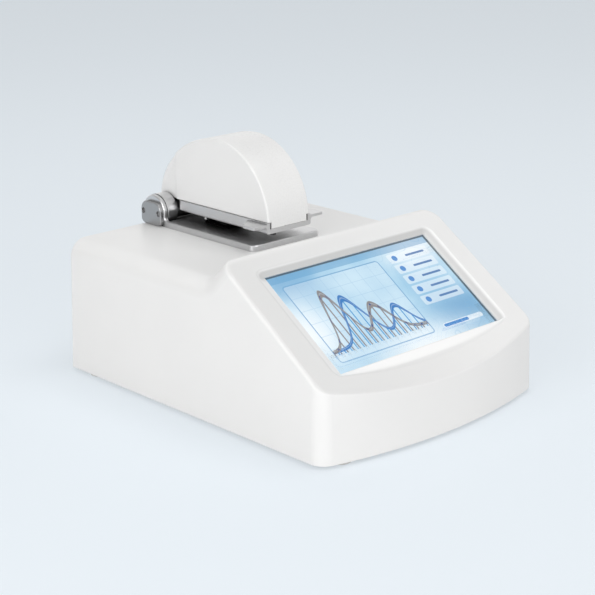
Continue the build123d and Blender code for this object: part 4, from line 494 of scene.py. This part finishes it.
for part in frame["record"]["subparts"]:
    node = frame["nodes"][part["node"]]
    finish = PORTS if part["node"] == "data_ports" else FINISH[part["material_slot"]]
    node.data.materials.clear()
    node.data.materials.append(finish)


def prism(bm, matrix, low, high, outline, hole=None):
    """Adds an upright solid on an outline, with a hole of as many corners if there is one."""
    rings = []
    for points in (outline, hole) if hole else (outline,):
        for z in (low, high):
            rings.append([bm.verts.new(matrix @ Vector((x, y, z))) for x, y in points])

    def wall(a, b):
        for i in range(len(a)):
            j = (i + 1) % len(a)
            bm.faces.new((a[i], a[j], b[j], b[i]))

    wall(rings[0], rings[1])
    if hole:
        wall(rings[3], rings[2])
        wall(rings[1], rings[3])
        wall(rings[2], rings[0])
    else:
        bm.faces.new(rings[1])
        bm.faces.new(reversed(rings[0]))


def piece(name, bm, finish, body):
    """A new piece from a mesh in millimetres, which rides on a body."""
    bmesh.ops.scale(bm, vec=(MM, MM, MM), verts=bm.verts)
    bmesh.ops.recalc_face_normals(bm, faces=bm.faces)
    mesh = bpy.data.meshes.new(name)
    bm.to_mesh(mesh)
    bm.free()
    mesh.materials.append(FINISH[finish])
    new = bpy.data.objects.new(name, mesh)
    bpy.context.scene.collection.objects.link(new)
    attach(new, body)


def ring(radius, corners=40):
    """A circle's corners."""
    turn = 2 * math.pi / corners
    return [(radius * math.cos(i * turn), radius * math.sin(i * turn)) for i in range(corners)]


def oblong(half_x, half_y, corners=8):
    """An upright bar with round ends."""
    points = []
    for end in (1, -1):
        for i in range(corners + 1):
            angle = math.pi * i / corners
            x, y = half_x * math.cos(angle), half_y - half_x + half_x * math.sin(angle)
            points.append((end * x, end * y))
    return points


def rocker_marks():
    """The bar and the ring on the rocker's two faces."""
    at_rest = Matrix.Translation(ROCKER_PIVOT) @ Matrix.Rotation(ROCKER_REST, 4, "X")
    for name, side in (("rocker_bar_mark", 1), ("rocker_ring_mark", -1)):
        along = Vector((0, ROCKER_DISH, side * ROCKER_HALF)).normalized()
        across = Vector((-side, 0, 0))
        turn = Matrix((across, along, across.cross(along))).transposed().to_4x4()
        place = at_rest @ Matrix.Translation((0, ROCKER_MIDDLE, 0)) @ turn
        place = place @ Matrix.Translation((0, ROCKER_HALF / 2, 0))
        bm = bmesh.new()
        if side > 0:
            prism(bm, place, -MARK_SINK, MARK_PROUD, oblong(MARK_LINE / 2, MARK_RADIUS))
        else:
            prism(bm, place, -MARK_SINK, MARK_PROUD, ring(MARK_RADIUS), ring(MARK_RADIUS - MARK_LINE))
        piece(name, bm, "cover_white", "rocker")


def solid_boxes(node):
    """The bounding box of each solid in a node, in millimetres."""
    bm = bmesh.new()
    bm.from_mesh(node.data)
    bmesh.ops.remove_doubles(bm, verts=bm.verts, dist=0.01 * MM)
    seen = set()
    for first in bm.verts:
        if first in seen:
            continue
        seen.add(first)
        solid, waiting = [], [first]
        while waiting:
            vertex = waiting.pop()
            solid.append(vertex.co / MM)
            for edge in vertex.link_edges:
                other = edge.other_vert(vertex)
                if other not in seen:
                    seen.add(other)
                    waiting.append(other)
        yield [(min(v[i] for v in solid), max(v[i] for v in solid)) for i in range(3)]
    bm.free()


def cross_recess_shade(node_name, body):
    """A black cross of painted shade in the head of each screw that goes in from below, where its cross
    recess is.
    """
    long, short = CROSS_LENGTH / 2, CROSS_WIDTH / 2
    quarter = [(long, -short), (long, short), (short, short)]
    cross = []
    for _ in range(4):
        cross += quarter
        quarter = [(-y, x) for x, y in quarter]
    bm = bmesh.new()
    for box in solid_boxes(frame["nodes"][node_name]):
        place = Matrix.Translation((sum(box[0]) / 2, sum(box[1]) / 2, box[2][0]))
        prism(bm, place, -MARK_PROUD, MARK_SINK, cross)
    piece(node_name + "_recess_shade", bm, "black_plastic", body)


def lamp(name, place, aim, size, power):
    """A soft rectangular lamp that looks at a point."""
    data = bpy.data.lights.new(name, "AREA")
    data.shape = "RECTANGLE"
    data.size, data.size_y = size
    data.energy = power
    light = bpy.data.objects.new(name, data)
    bpy.context.scene.collection.objects.link(light)
    way = Vector(aim) - Vector(place)
    light.rotation_euler = way.to_track_quat("-Z", "Y").to_euler()
    light.location = place


def surround_rays(g):
    """One for the rays that see the surround straight, and one that adds mirrored and refracted rays."""
    path = g.node("ShaderNodeLightPath")
    straight = path.outputs["Is Camera Ray"]
    return straight, g.most(straight, path.outputs["Is Glossy Ray"], path.outputs["Is Transmission Ray"])


def surround():
    """A pale world. Mirrored, it is white low at the right and greyer to the left and above."""
    world = bpy.data.worlds.new("surround")
    bpy.context.scene.world = world
    world.use_nodes = True
    world.node_tree.nodes.clear()
    g = Graph(world.node_tree, "Generated")
    seen, shown = surround_rays(g)
    split = g.node("ShaderNodeSeparateXYZ")
    g.feed(split.inputs[0], g.place)
    rightward = g.add(split.outputs[0], g.times(split.outputs[1], 0.45))
    side = g.ramp(rightward, -0.35, 0.55, MIRRORED_LEFT, MIRRORED_RIGHT)
    mirrored = g.ramp(split.outputs[2], 0.35, 0.75, side, MIRRORED_ABOVE)
    grey = g.node("ShaderNodeCombineColor")
    for socket in grey.inputs[:3]:
        g.feed(socket, mirrored)
    colour = g.mix(seen, grey.outputs[0], BACKGROUND)
    levels = []
    for source, strength in ((colour, 1.0), ((1.0, 1.0, 1.0, 1.0), AMBIENT)):
        light = g.node("ShaderNodeBackground")
        g.feed(light.inputs["Color"], source)
        light.inputs["Strength"].default_value = strength
        levels.append(light.outputs[0])
    both = g.node("ShaderNodeMixShader")
    for socket, value in zip(both.inputs, (shown, levels[1], levels[0])):
        g.feed(socket, value)
    g.feed(g.node("ShaderNodeOutputWorld").inputs["Surface"], both.outputs[0])


def studio():
    """A pale floor, a pale surround and soft lamps."""
    bpy.ops.mesh.primitive_circle_add(vertices=96, radius=FLOOR_RADIUS, fill_type="NGON")
    floor = bpy.context.object
    floor.name = "floor"
    g = Surface("floor")
    shown = surround_rays(g)[1]
    slow = g.noise(1.2, 2.0)
    g.feed(g.shader.inputs["Emission Strength"], g.times(shown, FLOOR_GLOW))
    g.feed(g.shader.inputs["Emission Color"], (*BACKGROUND, 1.0))
    tone = g.mix(slow, shade(FLOOR, 0.985), FLOOR)
    tone = g.mix(shown, tone, shade(BACKGROUND, 1 - FLOOR_GLOW))
    floor.data.materials.append(g.finish(tone, 0.85, Specular_IOR_Level=0.1))
    surround()
    for name, place, aim, size, power in LAMPS:
        lamp(name, place, aim, size, power)


def camera():
    """The camera at the photograph's viewpoint."""
    data = bpy.data.cameras.new("camera")
    data.sensor_width = SENSOR
    data.lens = CAMERA_FOCUS * SENSOR / IMAGE_SIDE
    data.shift_x = (IMAGE_SIDE / 2 - CAMERA_CENTRE[0]) / IMAGE_SIDE
    data.shift_y = (CAMERA_CENTRE[1] - IMAGE_SIDE / 2) / IMAGE_SIDE
    data.clip_start, data.clip_end = 0.05, 40.0
    back, up = Vector(CAMERA_BACK).normalized(), Vector(CAMERA_UP)
    right = up.cross(back).normalized()
    up = back.cross(right)
    turn = Matrix((right, up, back)).transposed().to_4x4()
    eye = bpy.data.objects.new("camera", data)
    bpy.context.scene.collection.objects.link(eye)
    eye.matrix_world = Matrix.Translation(CAMERA_PLACE) @ turn
    bpy.context.scene.camera = eye


rocker_marks()
cross_recess_shade("housing_screws", "base")
cross_recess_shade("cover_screws", "arm")
studio()
camera()
bpy.context.scene.view_settings.view_transform = "Standard"
